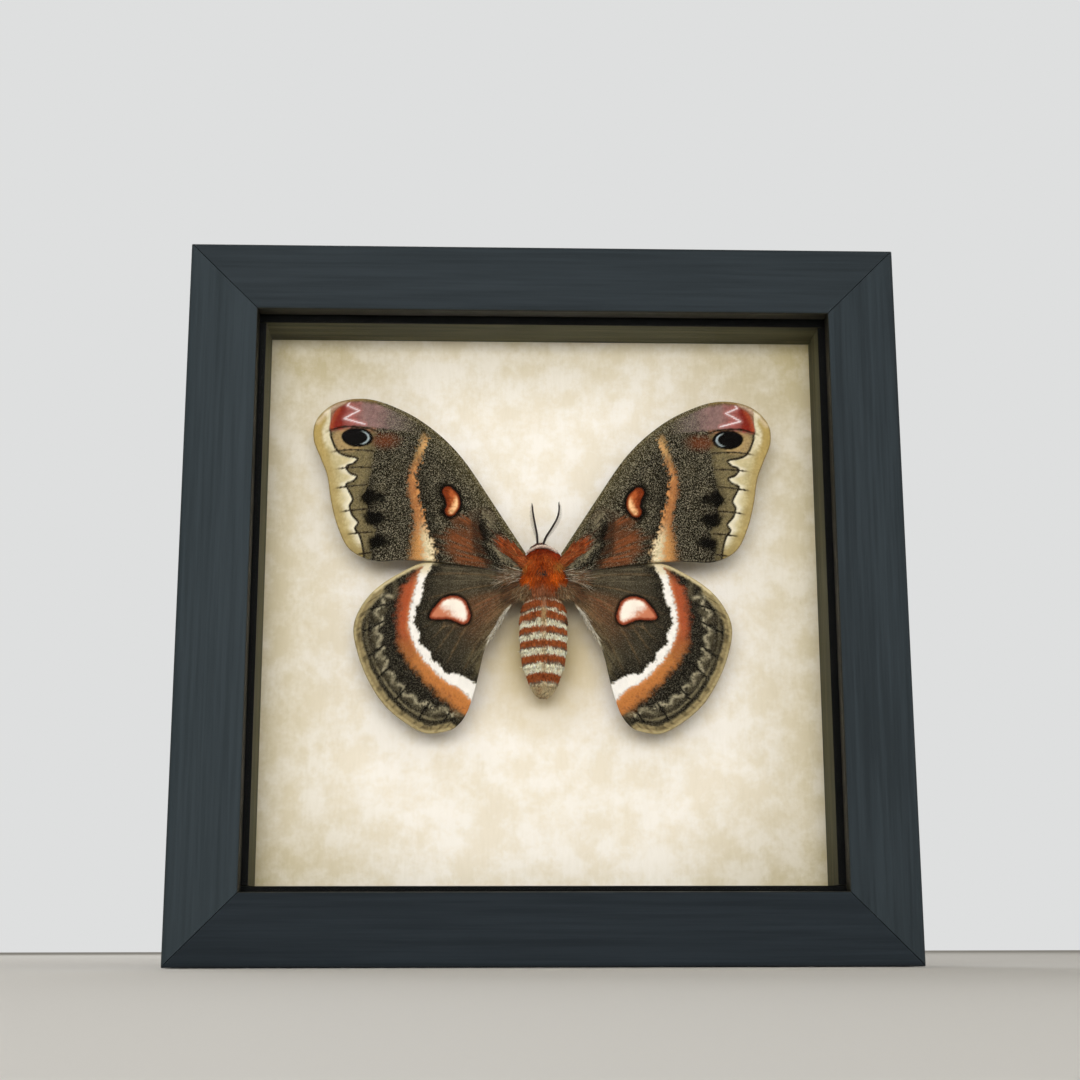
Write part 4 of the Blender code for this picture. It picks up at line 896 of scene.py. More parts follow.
ORANGE_OUTER = [(41.0, 6.0), (43.0, -0.8), (45.5, -3.8), (47.2, -6.9), (47.8, -10.8), (48.6, -15.1),
                (48.4, -19.4), (47.7, -22.8), (46.8, -26.2), (45.3, -29.2), (43.1, -32.6), (40.1, -36.0),
                (36.7, -39.3), (33.2, -42.3), (30.3, -44.8), (28.1, -46.9), (26.2, -48.4), (20.0, -53.0)]
PALE_OUTER = [(53.2, -6.9), (56.6, -10.4), (58.6, -13.8), (59.3, -17.7), (59.5, -22.0), (58.6, -26.2),
              (57.1, -30.5), (55.2, -33.9), (53.0, -37.7), (50.5, -41.0), (47.9, -44.0), (45.1, -46.5),
              (42.1, -48.4), (38.7, -49.7), (35.7, -50.3), (32.0, -49.8)]
PALE_INNER = [(51.0, -8.8), (54.6, -8.4), (53.6, -11.2), (56.4, -14.3), (53.8, -16.8), (56.4, -20.3),
              (54.4, -22.4), (55.6, -25.2), (53.4, -26.6), (55.4, -29.0), (52.4, -30.4), (53.2, -33.9),
              (50.2, -35.2), (50.2, -38.1), (46.8, -39.2), (46.4, -42.1), (43.2, -42.6), (41.9, -45.4),
              (38.4, -44.9), (36.4, -47.4), (33.2, -46.6), (31.0, -48.6), (28.9, -48.4)]
DARK_RADIALS = [
    [(58.9, -29.6), (53.8, -25.6), (47.5, -20.2)], [(55.6, -36.8), (49.9, -31.3), (46.6, -27.5)],
    [(49.9, -44.6), (46.0, -39.8), (42.2, -35.1)], [(42.5, -51.9), (39.2, -46.5), (35.8, -42.3)],
    [(60.4, -13.6), (54.0, -11.7), (48.0, -10.3)], [(60.8, -21.0), (54.4, -17.6), (48.4, -14.2)],
    [(34.4, -52.6), (31.8, -48.8), (29.4, -45.8)],
]
BEAN_OUTLINE = [(37.8, -14.5), (36.6, -12.6), (34.4, -10.0), (31.6, -8.7), (28.8, -8.8), (26.6, -10.2),
                (25.3, -12.8), (24.7, -15.4), (25.2, -17.3), (27.0, -18.1), (29.2, -17.4), (31.4, -16.4),
                (34.0, -16.4), (36.6, -16.5), (38.1, -15.8)]


def paint_hindwing(spots, shares, edges):
    """Colours and pale dusting of the hindwing at each spot."""
    u, v = spots[:, 0], spots[:, 1]
    from_costa, from_margin, from_fold = (to_line(spots, edge)[0] for edge in edges)
    fine = mottle(u, v, 0.5, 11)
    coarse = mottle(u, v, 1.7, 12)
    broad = mottle(u, v, 6.0, 13)
    angle = np.arctan2(v + 2.5, u - 3.0)
    reach = np.hypot(v + 2.5, u - 3.0)
    hair = lattice(angle * 42.0, reach / 9.0, 14) - 0.5
    thin_hair = lattice(angle * 110.0, reach / 5.0, 15) - 0.5
    fuzzy = 0.7 * fine + 0.5 * coarse

    def signed(line):
        """Distance to a line that runs down the wing, positive on the margin's side."""
        gap, side, _ = to_curve(spots, line, 8)
        return gap * side

    outside_white, outside_inner = signed(WHITE_OUTER), signed(WHITE_INNER)
    outside_orange = signed(ORANGE_OUTER)

    paint = plain_paint((51, 47, 39), len(spots))
    dusting = np.full(len(spots), 0.22)
    rooty = ease(reach, 34.0, 10.0)
    lay(paint, (94, 79, 61), rooty * 0.75)
    sector = ease(angle, -1.12, -0.72) * ease(angle, -0.2, -0.36) * ease(reach + 9 * hair, 36.0, 14.0)
    lay(paint, (98, 66, 46), sector * 0.8)
    lay(paint, (142, 86, 58), sector * ease(hair + 0.7 * thin_hair, -0.05, 0.45) * 0.8)
    lay(paint, (52, 42, 32), sector * ease(thin_hair, -0.05, -0.3) * 0.6)
    lay(paint, (60, 56, 48), ease(v + 1.5 * hair, -12.0, -4.0) * ease(reach, 38.0, 28.0) * 0.7)
    lay(paint, (110, 103, 87), ease(thin_hair, 0.0, 0.35) * ease(v, -8.0, -1.0) * 0.55)
    lay(paint, (30, 26, 21), ease(np.abs(angle + 0.16) + 0.03 * hair, 0.14, 0.03) * ease(reach, 30.0, 4.0)
        * 0.75)
    for vein in HIND_VEINS:
        gap = to_curve(spots, vein, 6)[0]
        lay(paint, (122, 98, 70), ease(gap + 0.7 * thin_hair, 0.5, 0.0) * ease(-outside_inner, 0.5, 3.0)
            * 0.34)
    near_fold = ease(from_fold + 1.5 * hair, 7.5, 1.0)
    lay(paint, (100, 92, 71), near_fold * ease(outside_inner, 1.0, -1.0)
        * ease(thin_hair + 0.5 * hair, -0.4, 0.3) * 0.7)
    lay(paint, (50, 44, 34), near_fold * ease(thin_hair, -0.05, -0.35) * ease(outside_inner, 1.0, -1.0) * 0.7)
    lay(paint, (24, 22, 19), ease(-outside_inner + 1.5 * fuzzy, 6.5, 0.5) * (outside_inner < 0) * 0.8)
    lay(paint, (104, 98, 84), ease(reach, 26.0, 8.0) * ease(hair + thin_hair, 0.2, 0.7) * (v > -6) * 0.6)

    charcoal = ease(outside_orange + 1.2 * fuzzy, -0.8, 1.0)
    lay(paint, (26, 24, 21), charcoal * 0.97)
    lay(paint, (74, 67, 52), charcoal * ease(from_margin, 10.0, 4.0) * ease(broad + coarse, -0.1, 0.5) * 0.35)
    dusting = np.where(charcoal > 0.5, 0.26, dusting)

    bottom = ease(v + 2 * coarse, -18.0, -34.0)
    orange = (ease(outside_white + 0.8 * fuzzy, -0.4, 0.4)
              * ease(outside_orange + 2.6 * fuzzy + 0.8 * hair, 2.2, -1.4))
    fade_top = ease(v, 1.5, -5.5)
    lay(paint, (174, 86, 54), orange * (1 - bottom) * (0.25 + 0.7 * fade_top))
    lay(paint, (196, 126, 70), orange * bottom * 0.95)
    lay(paint, (214, 150, 108), orange * ease(outside_white + 0.8 * fuzzy, 1.6, 0.2) * 0.4)
    lay(paint, (98, 50, 34), orange * ease(fine + 0.2 * coarse, 0.0, 0.4) * ease(outside_white, 0.4, 3.2)
        * 0.6)
    dusting *= 1 - 0.6 * orange

    white = ease(outside_inner + 1.0 * fine, -0.4, 0.4)
    white *= ease(outside_white + 1.1 * fine + 0.5 * coarse, 0.6, -0.6)
    lay(paint, (240, 235, 226), white)
    lay(paint, (216, 200, 160), white * ease(v, -3.0, 1.0) * 0.8)
    dusting *= 1 - white

    inner_gap = to_curve(spots, PALE_INNER, 6)[0]
    in_cell = np.full(len(u), 9.0)
    for radial in DARK_RADIALS:
        in_cell = np.minimum(in_cell, to_curve(spots, radial)[0])
    cloud = ease(inner_gap + 1.5 * fuzzy, 1.25, 0.2) * ease(fine + 0.6 * coarse, -0.4, 0.1)
    lay(paint, (172, 166, 146), cloud * charcoal * 0.88)
    lay(paint, (92, 86, 70), ease(np.abs(from_margin - 6.8) + 1.8 * fuzzy, 1.5, 0.1) * ease(in_cell, 0.6, 1.6)
        * charcoal * 0.6)
    gap = to_curve(spots, PALE_OUTER, 6)[0]
    lay(paint, (136, 128, 104), ease(gap + 1.0 * fuzzy, 0.7, 0.05) * 0.75)
    lay(paint, (24, 21, 17), charcoal * ease(np.abs(from_margin - 3.7) + 0.7 * fuzzy, 0.9, 0.2) * 0.7)
    for radial in DARK_RADIALS:
        gap, _, along = to_curve(spots, radial)
        lay(paint, (13, 11, 10), ease(gap + 0.2 * fine, 0.56, 0.2) * ease(along, 1.0, 0.6))

    tan = ease(from_margin + 0.9 * fuzzy, 3.1, 2.0)
    lay(paint, (156, 144, 112), tan)
    lay(paint, (188, 175, 138), tan * ease(np.abs(from_margin - 0.7) + 1.4 * fuzzy, 1.0, 0.1) * 0.5)
    lay(paint, (112, 97, 68), ease(np.abs(from_margin - 1.5) + 1.2 * fuzzy, 0.7, 0.1) * 0.55)
    teeth = lattice(shares[:, 1] * 70.0, np.zeros(len(u)), 16) - 0.5
    lay(paint, (46, 39, 29), tan * ease(teeth + 0.5 * fine, 0.06, 0.3)
        * ease(np.abs(from_margin - 2.0), 1.6, 0.2) * 0.7)
    lay(paint, (112, 98, 68), tan * ease(fine + coarse, 0.0, 0.5) * 0.5)
    dusting *= 1 - 0.6 * tan
    upper = ease(from_costa + 0.7 * fuzzy, 1.7, 0.4) * ease(u, 34.0, 40.0)
    lay(paint, (214, 200, 162), upper * 0.9)
    dusting *= 1 - upper
    lay(paint, (150, 134, 98), ease(from_costa, 0.7, 0.2) * ease(u, 30.0, 36.0) * 0.4)
    lay(paint, (232, 227, 212), ease(from_fold + 1.2 * hair, 1.1, 0.2) * ease(v, -10.0, -14.0)
        * ease(v, -28.0, -23.0) * 0.8)

    bean_edge = smooth_curve(BEAN_OUTLINE + BEAN_OUTLINE[:1], 6, BEAN_OUTLINE[-1], BEAN_OUTLINE[1])
    gap, side, _ = to_line(spots, bean_edge)
    within = gap * side * np.sign((gap * side)[np.argmin(np.hypot(u - 29.0, v + 13.0))])
    lay(paint, (15, 12, 11), ease(within + 0.35 * fuzzy, -1.5, -0.4) * 0.93)
    bean = ease(within + 0.3 * fuzzy, -0.3, 0.2)
    lay(paint, (140, 66, 46), bean)
    lay(paint, (198, 126, 100), bean * ease(within + 0.4 * fuzzy, 0.3, 1.0))
    lit = ease((v + 16.4) / 4.4 + (31.0 - u) / 6.0 + 0.45 * fuzzy, 0.0, 0.9)
    lay(paint, (246, 234, 218), bean * lit * ease(within + 0.5 * fuzzy, 0.45, 1.5))
    dusting *= 1 - ease(within, -1.6, -0.6)

    light_part = np.maximum(np.maximum(white, 0.6 * tan), np.maximum(upper, bean))
    paint *= (1 + 0.5 * fine * (1 - light_part) + 0.1 * coarse)[:, None]
    return warmed(paint), np.clip(dusting, 0.0, 1.0)


for side_name, wing in wing_pair("scaled_hindwing", HIND_COSTA, HIND_MARGIN, HIND_FOLD, HINDWING_GRID,
                                 HIND_VEINS, HINDWING_BEHIND, paint_hindwing):
    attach(wing, "root")
    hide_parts(f"hindwing_{side_name}")


# Body: one skin over abdomen, thorax, head and the folded legs, with the colours of the coat that covers it.
# The abdomen is ringed in segments, each stepped over the next. The legs are folded tight under the thorax.

THORAX_DEPTH = 16.0
THORAX_FLAT = 0.72
THORAX_PROFILE = [(122.2, 6.9), (123.6, 7.8), (126.0, 8.3), (129.2, 8.3), (132.6, 7.5), (135.4, 6.3),
                  (137.2, 4.7), (138.1, 2.6), (138.4, 0.0)]
THORAX_COAT = 1.5
ABDOMEN_DEPTH = 16.2
ABDOMEN_FLAT = 0.76
ABDOMEN_TOP = 121.9
ABDOMEN_TIP = 86.6
ABDOMEN_WIDEST = 8.2
ABDOMEN_COAT = 0.8
SEGMENT_REAR_EDGES = [117.0, 113.0, 107.9, 103.1, 97.7, 91.6]
SEGMENT_STEP = 0.035
WAIST = (121.4, 123.2)
BODY_TOP = 138.4
HEAD_CENTRE = (-0.9, 18.4, 138.0)
HEAD_HALF = (2.7, 2.4, 2.3)
LEG_ROOTS = {"front": 133.0, "middle": 129.4, "hind": 125.8}
LEG_ROUTE = [(3.4, 22.1, 0.0), (5.4, 23.1, 0.7), (7.6, 23.9, 1.1), (8.1, 24.7, 0.4), (7.0, 25.4, -1.2),
             (6.0, 26.0, -2.3), (5.2, 26.3, -3.2), (4.6, 26.5, -4.0)]
LEG_RADII = [0.68, 0.78, 0.62, 0.52, 0.58, 0.42, 0.32, 0.22]
SKIN_VOXEL = 0.3
BODY_RINGS = 190
BODY_SIDES = 64
LEG_SIDES = 10

ORANGE_BANDS = [(119.6, 116.8), (115.6, 113.0), (110.3, 108.1), (105.6, 103.4), (100.6, 98.3), (94.7, 91.9)]
PIN_SPOT = (-0.2, 127.9)
OLIVE_STREAKS = [((-6.8, 130.2), 2.0, 0.85), ((5.2, 130.2), 2.4, 0.9)]
ORANGE_LOBES = [(3.7, 126.0, 2.1), (-5.2, 125.2, 1.9)]


def body_half(z):
    """Half width of the bare body at each height."""
    down = np.clip((ABDOMEN_TOP - z) / (ABDOMEN_TOP - ABDOMEN_TIP), 0.0, 1.0)
    front = 0.7 + 0.3 * np.sin(np.minimum(down / 0.26, 1.0) * math.pi / 2)
    rear = (1.0 - np.maximum(0.0, (down - 0.3) / 0.7) ** 2.5) ** 0.54
    last = np.full_like(z, 200.0)
    first = np.full_like(z, ABDOMEN_TIP)
    for edge in SEGMENT_REAR_EDGES:
        first = np.where(z >= edge, np.maximum(first, edge), first)
        last = np.where(z < edge, np.minimum(last, edge), last)
    last = np.minimum(last, ABDOMEN_TOP)
    within = np.clip((last - z) / np.maximum(last - first, 0.5), 0.0, 1.0)
    abdomen = ABDOMEN_WIDEST * front * rear * (1 + SEGMENT_STEP * (within ** 2 - 0.5))
    abdomen = np.maximum(abdomen - ABDOMEN_COAT - 0.4 * ease(z, 100.0, 93.0), 0.05)
    profile = smooth_curve(THORAX_PROFILE)
    thorax = np.maximum(np.interp(z, profile[:, 0], profile[:, 1]) - THORAX_COAT, 0.05)
    share = ease(z, *WAIST)
    return abdomen * (1 - share) + thorax * share


def body_spot(z, turn):
    """Point on the bare body at a height and an angle: 0 at the right side, a quarter turn at the belly."""
    z, turn = np.broadcast_arrays(z, turn)
    half = body_half(z)
    share = ease(z, *WAIST)
    flat = ABDOMEN_FLAT + (THORAX_FLAT - ABDOMEN_FLAT) * share
    deep = ABDOMEN_DEPTH + (THORAX_DEPTH - ABDOMEN_DEPTH) * share
    return np.stack([half * np.cos(turn), deep + half * flat * np.sin(turn), z], -1)


def body_paint(x, z, deep):
    """Colour of the coat at each spot: banded abdomen, rust-red thorax, pale collar."""
    fine = lattice(x / 0.45, z / 0.8, 21) - 0.5
    coarse = lattice(x / 1.6, z / 2.4, 22) - 0.5
    out = np.abs(x)
    half = np.maximum(body_half(z) + 1.0, 1.0)
    paint = plain_paint((255, 246, 214), len(x))
    arch = 1.9 * ease(z, 108.0, 114.0) + 0.45
    ringed = z + arch * np.clip(out / half, 0, 1) ** 2 + 0.35 * fine
    middle = ease(out + 0.5 * coarse, 1.2, 0.2)
    lay(paint, (196, 166, 116), middle * 0.6)
    lay(paint, (176, 148, 104), ease(fine + 0.4 * coarse, 0.15, 0.5) * 0.6)
    for band_top, band_low in ORANGE_BANDS:
        band = ease(ringed, band_low - 0.1, band_low + 0.2) * ease(ringed, band_top + 0.3, band_top - 0.1)
        rear = ease(ringed, band_low - 0.9, band_low - 0.6) * ease(ringed, band_low + 0.3, band_low)
        lay(paint, (92, 56, 32), rear * (1 - 0.6 * middle) * ease(coarse, -0.5, -0.1) * 0.85)
        lay(paint, (174, 92, 48), band * (1 - 0.3 * middle * ease(z, 106.0, 112.0)))
        lay(paint, (138, 62, 30), band * ease(coarse, 0.1, 0.45) * 0.5)
        lay(paint, (206, 122, 66), band * ease(fine, 0.1, 0.5) * 0.5)
    lay(paint, (206, 172, 118), ease(ringed, 116.6, 115.6) * ease(ringed, 110.8, 112.0) * middle * 0.85)
    shoulder = ease(z, 110.5, 112.5) * ease(out / half + 0.25 * coarse, 0.74, 0.9)
    lay(paint, (62, 54, 44), shoulder * ease(fine, -0.2, 0.15) * 0.8)
    tip = ease(z, 91.4, 90.4)
    lay(paint, (208, 188, 146), tip)
    lay(paint, (158, 124, 84), tip * ease(fine + 0.5 * coarse, 0.0, 0.5) * 0.7)
    lay(paint, (120, 74, 46), ease(z, 87.6, 86.2) * 0.7)
    waist = ease(ringed, 119.6, 120.4)
    lay(paint, (178, 122, 84), waist)
    lay(paint, (146, 88, 54), waist * ease(fine, 0.0, 0.4) * 0.6)

    thorax = ease(z + 0.6 * coarse, 120.8, 122.4)
    lay(paint, (196, 84, 26), thorax)
    lay(paint, (218, 116, 46), thorax * ease(fine + 0.6 * coarse, 0.1, 0.5) * 0.7)
    lay(paint, (142, 50, 16), thorax * ease(fine + 0.6 * coarse, -0.1, -0.5) * 0.75)
    lay(paint, (120, 36, 12), thorax * ease(coarse, 0.05, 0.4) * 0.55)
    lay(paint, (230, 132, 62), thorax * ease(coarse, -0.12, -0.42) * 0.45)
    for (streak_x, streak_z), wide, strong in OLIVE_STREAKS:
        share = ease(np.hypot((x - streak_x) / wide, (z - streak_z) / 3.0) + 0.5 * coarse, 1.0, 0.3)
        lay(paint, (186, 138, 66), thorax * share * ease(fine, -0.4, 0.1) * strong)
    for lobe_x, lobe_z, wide in ORANGE_LOBES:
        share = ease(np.hypot(x - lobe_x, z - lobe_z) + 0.6 * coarse, wide + 0.6, wide - 1.0)
        lay(paint, (242, 112, 28), thorax * share * 0.9)
    lay(paint, (182, 124, 88), ease(np.hypot((x + 0.9) / 3.4, (z - 122.2) / 2.6) + 0.6 * fine, 1.1, 0.5)
        * 0.75)
    lay(paint, (196, 164, 116), ease(out + 0.8 * coarse, 4.6, 6.4) * ease(z, 124.6, 123.2)
        * ease(z, 117.6, 119.2) * 0.75)
    crimson = ease(z + 0.07 * out ** 2 + 0.3 * x + 1.6 * coarse, 132.2, 136.2)
    lay(paint, (160, 50, 25), crimson * 0.85)
    spot = np.hypot(x - PIN_SPOT[0], (z - PIN_SPOT[1]) / 1.1)
    lay(paint, (72, 60, 46), ease(spot + 0.4 * fine, 1.5, 0.9) * ease(deep, 16.0, 14.0) * 0.85)
    lay(paint, (120, 104, 82), ease(spot + 0.3 * fine, 0.8, 0.4) * ease(deep, 16.0, 14.0) * 0.7)
    belly = ease(deep, 17.0, 19.5)
    lay(paint, (150, 80, 46), belly * 0.6)
    return np.clip(paint * (1 + 0.3 * fine)[:, None], 0.0, 1.0)


def tube_arrays(path, radii, sides):
    """Points and quads of a tube along a path, closed at both ends by shrinking them to nothing."""
    path, radii = np.array(path, float), np.array(radii, float)
    ways = np.gradient(path, axis=0)
    ways /= np.linalg.norm(ways, axis=1)[:, None]
    path = np.vstack([path[:1], path, path[-1:]])
    ways = np.vstack([ways[:1], ways, ways[-1:]])
    radii = np.concatenate([[0.01], radii, [0.01]])
    first = np.cross(ways, (0.13, 0.2, 1.0))
    first /= np.linalg.norm(first, axis=1)[:, None]
    second = np.cross(ways, first)
    turn = np.linspace(0, 2 * math.pi, sides, endpoint=False)
    rings = path[:, None] + radii[:, None, None] * (np.cos(turn)[None, :, None] * first[:, None]
                                                    + np.sin(turn)[None, :, None] * second[:, None])
    return rings.reshape(-1, 3), ring_quads(len(path), sides)


def ring_quads(rows, sides):
    """Quads between rings of points that follow each other."""
    index = np.arange(rows * sides).reshape(rows, sides)
    beside = np.roll(index, -1, axis=1)
    quads = np.stack([index[:-1], beside[:-1], beside[1:], index[1:]], -1).reshape(-1, 4)
    return quads


def smooth_path(points, radii, per_span):
    """A smooth path in space with its radii eased along it."""
    path = smooth_curve(points, per_span)
    at = np.linspace(0, len(radii) - 1, len(path))
    return path, np.interp(at, np.arange(len(radii)), radii)


def plain_mesh(name, points, faces):
    mesh = bpy.data.meshes.new(name)
    mesh.from_pydata([tuple(p) for p in points], [], [tuple(f) for f in faces])
    solid = bmesh.new()
    solid.from_mesh(mesh)
    bmesh.ops.remove_doubles(solid, verts=solid.verts, dist=2e-5)
    holes = [e for e in solid.edges if e.is_boundary]
    if holes:
        bmesh.ops.holes_fill(solid, edges=holes)
    bmesh.ops.recalc_face_normals(solid, faces=solid.faces)
    solid.to_mesh(mesh)
    solid.free()
    return in_scene(name, mesh)


def ball_arrays(centre, half):
    """Points and faces of a ball with these half sizes."""
    ball = bmesh.new()
    bmesh.ops.create_icosphere(ball, subdivisions=4, radius=1.0)
    points = np.array([v.co for v in ball.verts]) * half + centre
    faces = [[v.index for v in f.verts] for f in ball.faces]
    ball.free()
    return points, faces


def as_plain(piece):
    """The piece with its modifiers applied, as a plain mesh."""
    result = bpy.data.meshes.new_from_object(piece.evaluated_get(bpy.context.evaluated_depsgraph_get()))
    piece.modifiers.clear()
    piece.data = result
    return piece


def joined(pieces):
    """One object from several, which keep their own surfaces."""
    whole = bmesh.new()
    for piece in pieces:
        whole.from_mesh(piece.data)
    whole.to_mesh(pieces[0].data)
    whole.free()
    for piece in pieces[1:]:
        bpy.data.objects.remove(piece)
    return pieces[0]


heights = np.linspace(ABDOMEN_TIP, BODY_TOP, BODY_RINGS)
angles = np.linspace(0, 2 * math.pi, BODY_SIDES, endpoint=False)
rings = body_spot(heights[:, None], angles[None, :])
trunk = plain_mesh("trunk", placed(rings.reshape(-1, 3)), ring_quads(len(heights), len(angles)))
head_spots, head_faces = ball_arrays(HEAD_CENTRE, HEAD_HALF)
skull = plain_mesh("skull", placed(head_spots), head_faces)
skin = joined([trunk, skull])
remesh = skin.modifiers.new("one skin", "REMESH")
remesh.mode = "VOXEL"
remesh.voxel_size = SKIN_VOXEL * MM
as_plain(skin)

legs = []
for leg_root in LEG_ROOTS.values():
    for side in SIDES.values():
        route = [(side * x, deep, leg_root + z) for x, deep, z in LEG_ROUTE]
        leg_path, leg_radii = smooth_path(route, LEG_RADII, 6)
        leg_points, leg_faces = tube_arrays(leg_path, leg_radii, LEG_SIDES)
        legs.append(plain_mesh("leg", placed(leg_points), leg_faces))
skin = joined([skin] + legs)
skin.name = "moth_skin"
skin.data.polygons.foreach_set("use_smooth", [True] * len(skin.data.polygons))


def coat_finish():
    """Hair in its own colours, matt, with a faint sheen."""
    material, tree, shader = new_finish("moth hair", Roughness=0.78, Specular_IOR_Level=0.06,
                                        Sheen_Weight=0.01)
    paint = node(tree, "ShaderNodeAttribute", attribute_name="scales").outputs["Color"]
    vary = noise(tree, object_place(tree), 1300.0, 2.0)
    shade = stretch(tree, vary, 0.35, 0.65, 0.0, 0.28)
    link(tree, blend_tones(tree, shade, paint, HAIR_SHADE), shader.inputs["Base Color"])
    raise_relief(tree, shader, vary, 0.4, 0.1 * MM)
    return material


HAIR_SHADE = tone(40, 26, 18)
HAIR = coat_finish()
# Painted shade: the skin's colours are darkened, as the shade between the tufts of the coat.
SKIN_SHADE = 0.6
skin_spots = np.array([v.co for v in skin.data.vertices]) / MM
skin_paint = body_paint(skin_spots[:, 0], skin_spots[:, 2], skin_spots[:, 1] - FRONT / MM) * SKIN_SHADE
keep_paint(skin.data, skin_paint)
skin.data.materials.clear()
skin.data.materials.append(HAIR)
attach(skin, "root")
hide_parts("thorax", "abdomen", "head", *[f"leg_{leg}_{side}" for leg in LEG_ROOTS for side in SIDES])


# Coat: tapering tufts of hair-like scales over the skin, rooted in it and lying back along the body.
# Short and close on the abdomen, long on the thorax, where it runs out over the wings' roots.
# Each tuft is a closed blade of three sides. Its patch on the map lies at its root's place round the skin.

TUFT_RINGS = (0.0, 0.4, 0.75)
TUFT_WIDTHS = (0.75, 1.0, 0.62)
TUFT_TIP_WIDTH = 0.06
TUFT_SPREAD = 0.16
ROOT_SUNK = 0.25
TIP_SHADE = 1.15
ARCH_TURN = 1.9
PATCH = 0.003
SHOWING_SHARE = 0.62


def tufts(name, roots, ups, lies, lengths, widths, lifts, colours, chart, seed, root_shade=0.45):
    """Joined tufts as one mesh, from arrays in millimetres with a row for each tuft.

    The chart gives each tuft's place on the map.
    """
    draw = np.random.default_rng(seed)
    count = len(roots)
    ups = ups / np.linalg.norm(ups, axis=1)[:, None]
    lies = lies + TUFT_SPREAD * draw.standard_normal((count, 3))
    lies -= (lies * ups).sum(1)[:, None] * ups
    lies /= np.linalg.norm(lies, axis=1)[:, None]
    across = np.cross(lies, ups)
    sway = TUFT_SPREAD * draw.standard_normal(count)
    # Painted shade and light: each tuft is darkened towards its root and lightened towards its tip.
    root_shades = root_shade + (0.9 - root_shade) * ease(colours.mean(1), 0.25, 0.7)
    points, shades, corners = [], [], []
    at = np.array(TUFT_RINGS + (1.0,))
    for ring, share in enumerate(at):
        rise = lifts * lengths * math.sin(share * ARCH_TURN) / math.sin(ARCH_TURN * 0.82)
        line = (roots - ROOT_SUNK * ups * (share == 0.0) + lies * (lengths * share)[:, None]
                + ups * rise[:, None] + across * (sway * lengths * share ** 2)[:, None])
        wide = widths * (TUFT_WIDTHS[ring] if ring < 3 else TUFT_TIP_WIDTH)
        beside = across * (wide / 2)[:, None]
        places = [line] if ring == 3 else [line - beside, line + beside, line + ups * (wide * 0.5)[:, None]]
        for corner, place in enumerate(places):
            points.append(place)
            shades.append(root_shades + (TIP_SHADE - root_shades) * share)
            corners.append(((corner - 1) * 0.4, share - 0.5))
    points = np.stack(points, 1)
    per = points.shape[1]
    tint = 1.0 + TUFT_SPREAD * draw.standard_normal(count)
    paint = colours[:, None, :] * np.stack(shades, 1)[:, :, None] * tint[:, None, None]
    faces = [(0, 2, 1)]
    for ring in range(2):
        for a, b in ((0, 1), (1, 2), (2, 0)):
            low, high = 3 * ring, 3 * ring + 3
            faces += [(low + a, low + b, high + b), (low + a, high + b, high + a)]
    faces += [(6 + a, 6 + b, 9) for a, b in ((0, 1), (1, 2), (2, 0))]
    faces = np.array(faces)
    whole = (faces[None] + per * np.arange(count)[:, None, None]).reshape(-1, 3)
    solid = placed(points)
    first = solid[0][faces]
    if np.einsum("ij,ij->i", first[:, 0], np.cross(first[:, 1], first[:, 2])).sum() < 0:
        whole = whole[:, ::-1]
    piece = from_arrays(name, solid.reshape(-1, 3), whole, HAIR, np.clip(paint, 0, 1).reshape(-1, 3))
    centre = (chart - chart.min(0)) / (chart.max(0) - chart.min(0))
    spread = centre[:, None, :] * (1 - 2 * PATCH) + PATCH + PATCH * np.array(corners)[None]
    patches = piece.data.uv_layers.new(name="OFBake")
    patches.data.foreach_set("uv", spread.reshape(-1, 2)[whole.ravel()].astype(np.float32).ravel())
    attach(piece, "root")
    return piece


def skin_ways(z, turn):
    """Roots on the bare body and the way out from it, at heights and angles."""
    step = 0.05
    here = body_spot(z, turn)
    round_way = body_spot(z, turn + step) - here
    up_way = body_spot(np.minimum(z + step, BODY_TOP - 0.01), turn) - body_spot(z - step, turn)
    out = np.cross(round_way, up_way)
    out /= np.maximum(np.linalg.norm(out, axis=1), 1e-9)[:, None]
    centre = np.stack([0 * z, np.full_like(z, THORAX_DEPTH), z], 1)
    flip = np.sign(((here - centre) * out).sum(1))
    flip[flip == 0] = 1.0
    return here, out * flip[:, None]


def scatter(count, low, high, seed):
    """Heights and angles spread over the body by its width, with a share of them on the side that shows."""
    draw = np.random.default_rng(seed)
    z = draw.uniform(low, high, count * 4)
    keep = draw.uniform(0, 1, len(z)) < (body_half(z) + 1.0) / 9.4
    z = z[keep][:count]
    turn = np.where(draw.uniform(0, 1, len(z)) < SHOWING_SHARE, draw.uniform(math.pi, 2 * math.pi, len(z)),
                    draw.uniform(0, math.pi, len(z)))
    return z, turn, draw


ABDOMEN_TUFTS = 11600
ABDOMEN_HEIGHTS = (87.7, 122.4)
ABDOMEN_LENGTHS = (1.2, 1.8)
ABDOMEN_WIDTHS = (0.24, 0.4)
THORAX_TUFTS = 10600
THORAX_HEIGHTS = (121.6, 137.9)
THORAX_LENGTHS = (2.4, 4.4)
THORAX_WIDTHS = (0.2, 0.36)

z, turn, draw = scatter(ABDOMEN_TUFTS, *ABDOMEN_HEIGHTS, 31)
roots, ups = skin_ways(z, turn)
lengths = draw.uniform(*ABDOMEN_LENGTHS, len(z)) * (1.0 - 0.4 * ease(z, 90.0, 87.0))
flank = ease(np.abs(np.cos(turn)), 0.72, 1.0)
lies = np.stack([0.45 * flank * np.sign(np.cos(turn)), 0 * z, -np.ones_like(z)], 1)
colours = body_paint(roots[:, 0], roots[:, 2] - 0.9 * lengths, roots[:, 1])
coat = tufts("coat_abdomen", roots, ups, lies, lengths, draw.uniform(*ABDOMEN_WIDTHS, len(z)),
             draw.uniform(0.1, 0.26, len(z)) + 0.14 * flank, colours, np.stack([turn, z], 1), 32)

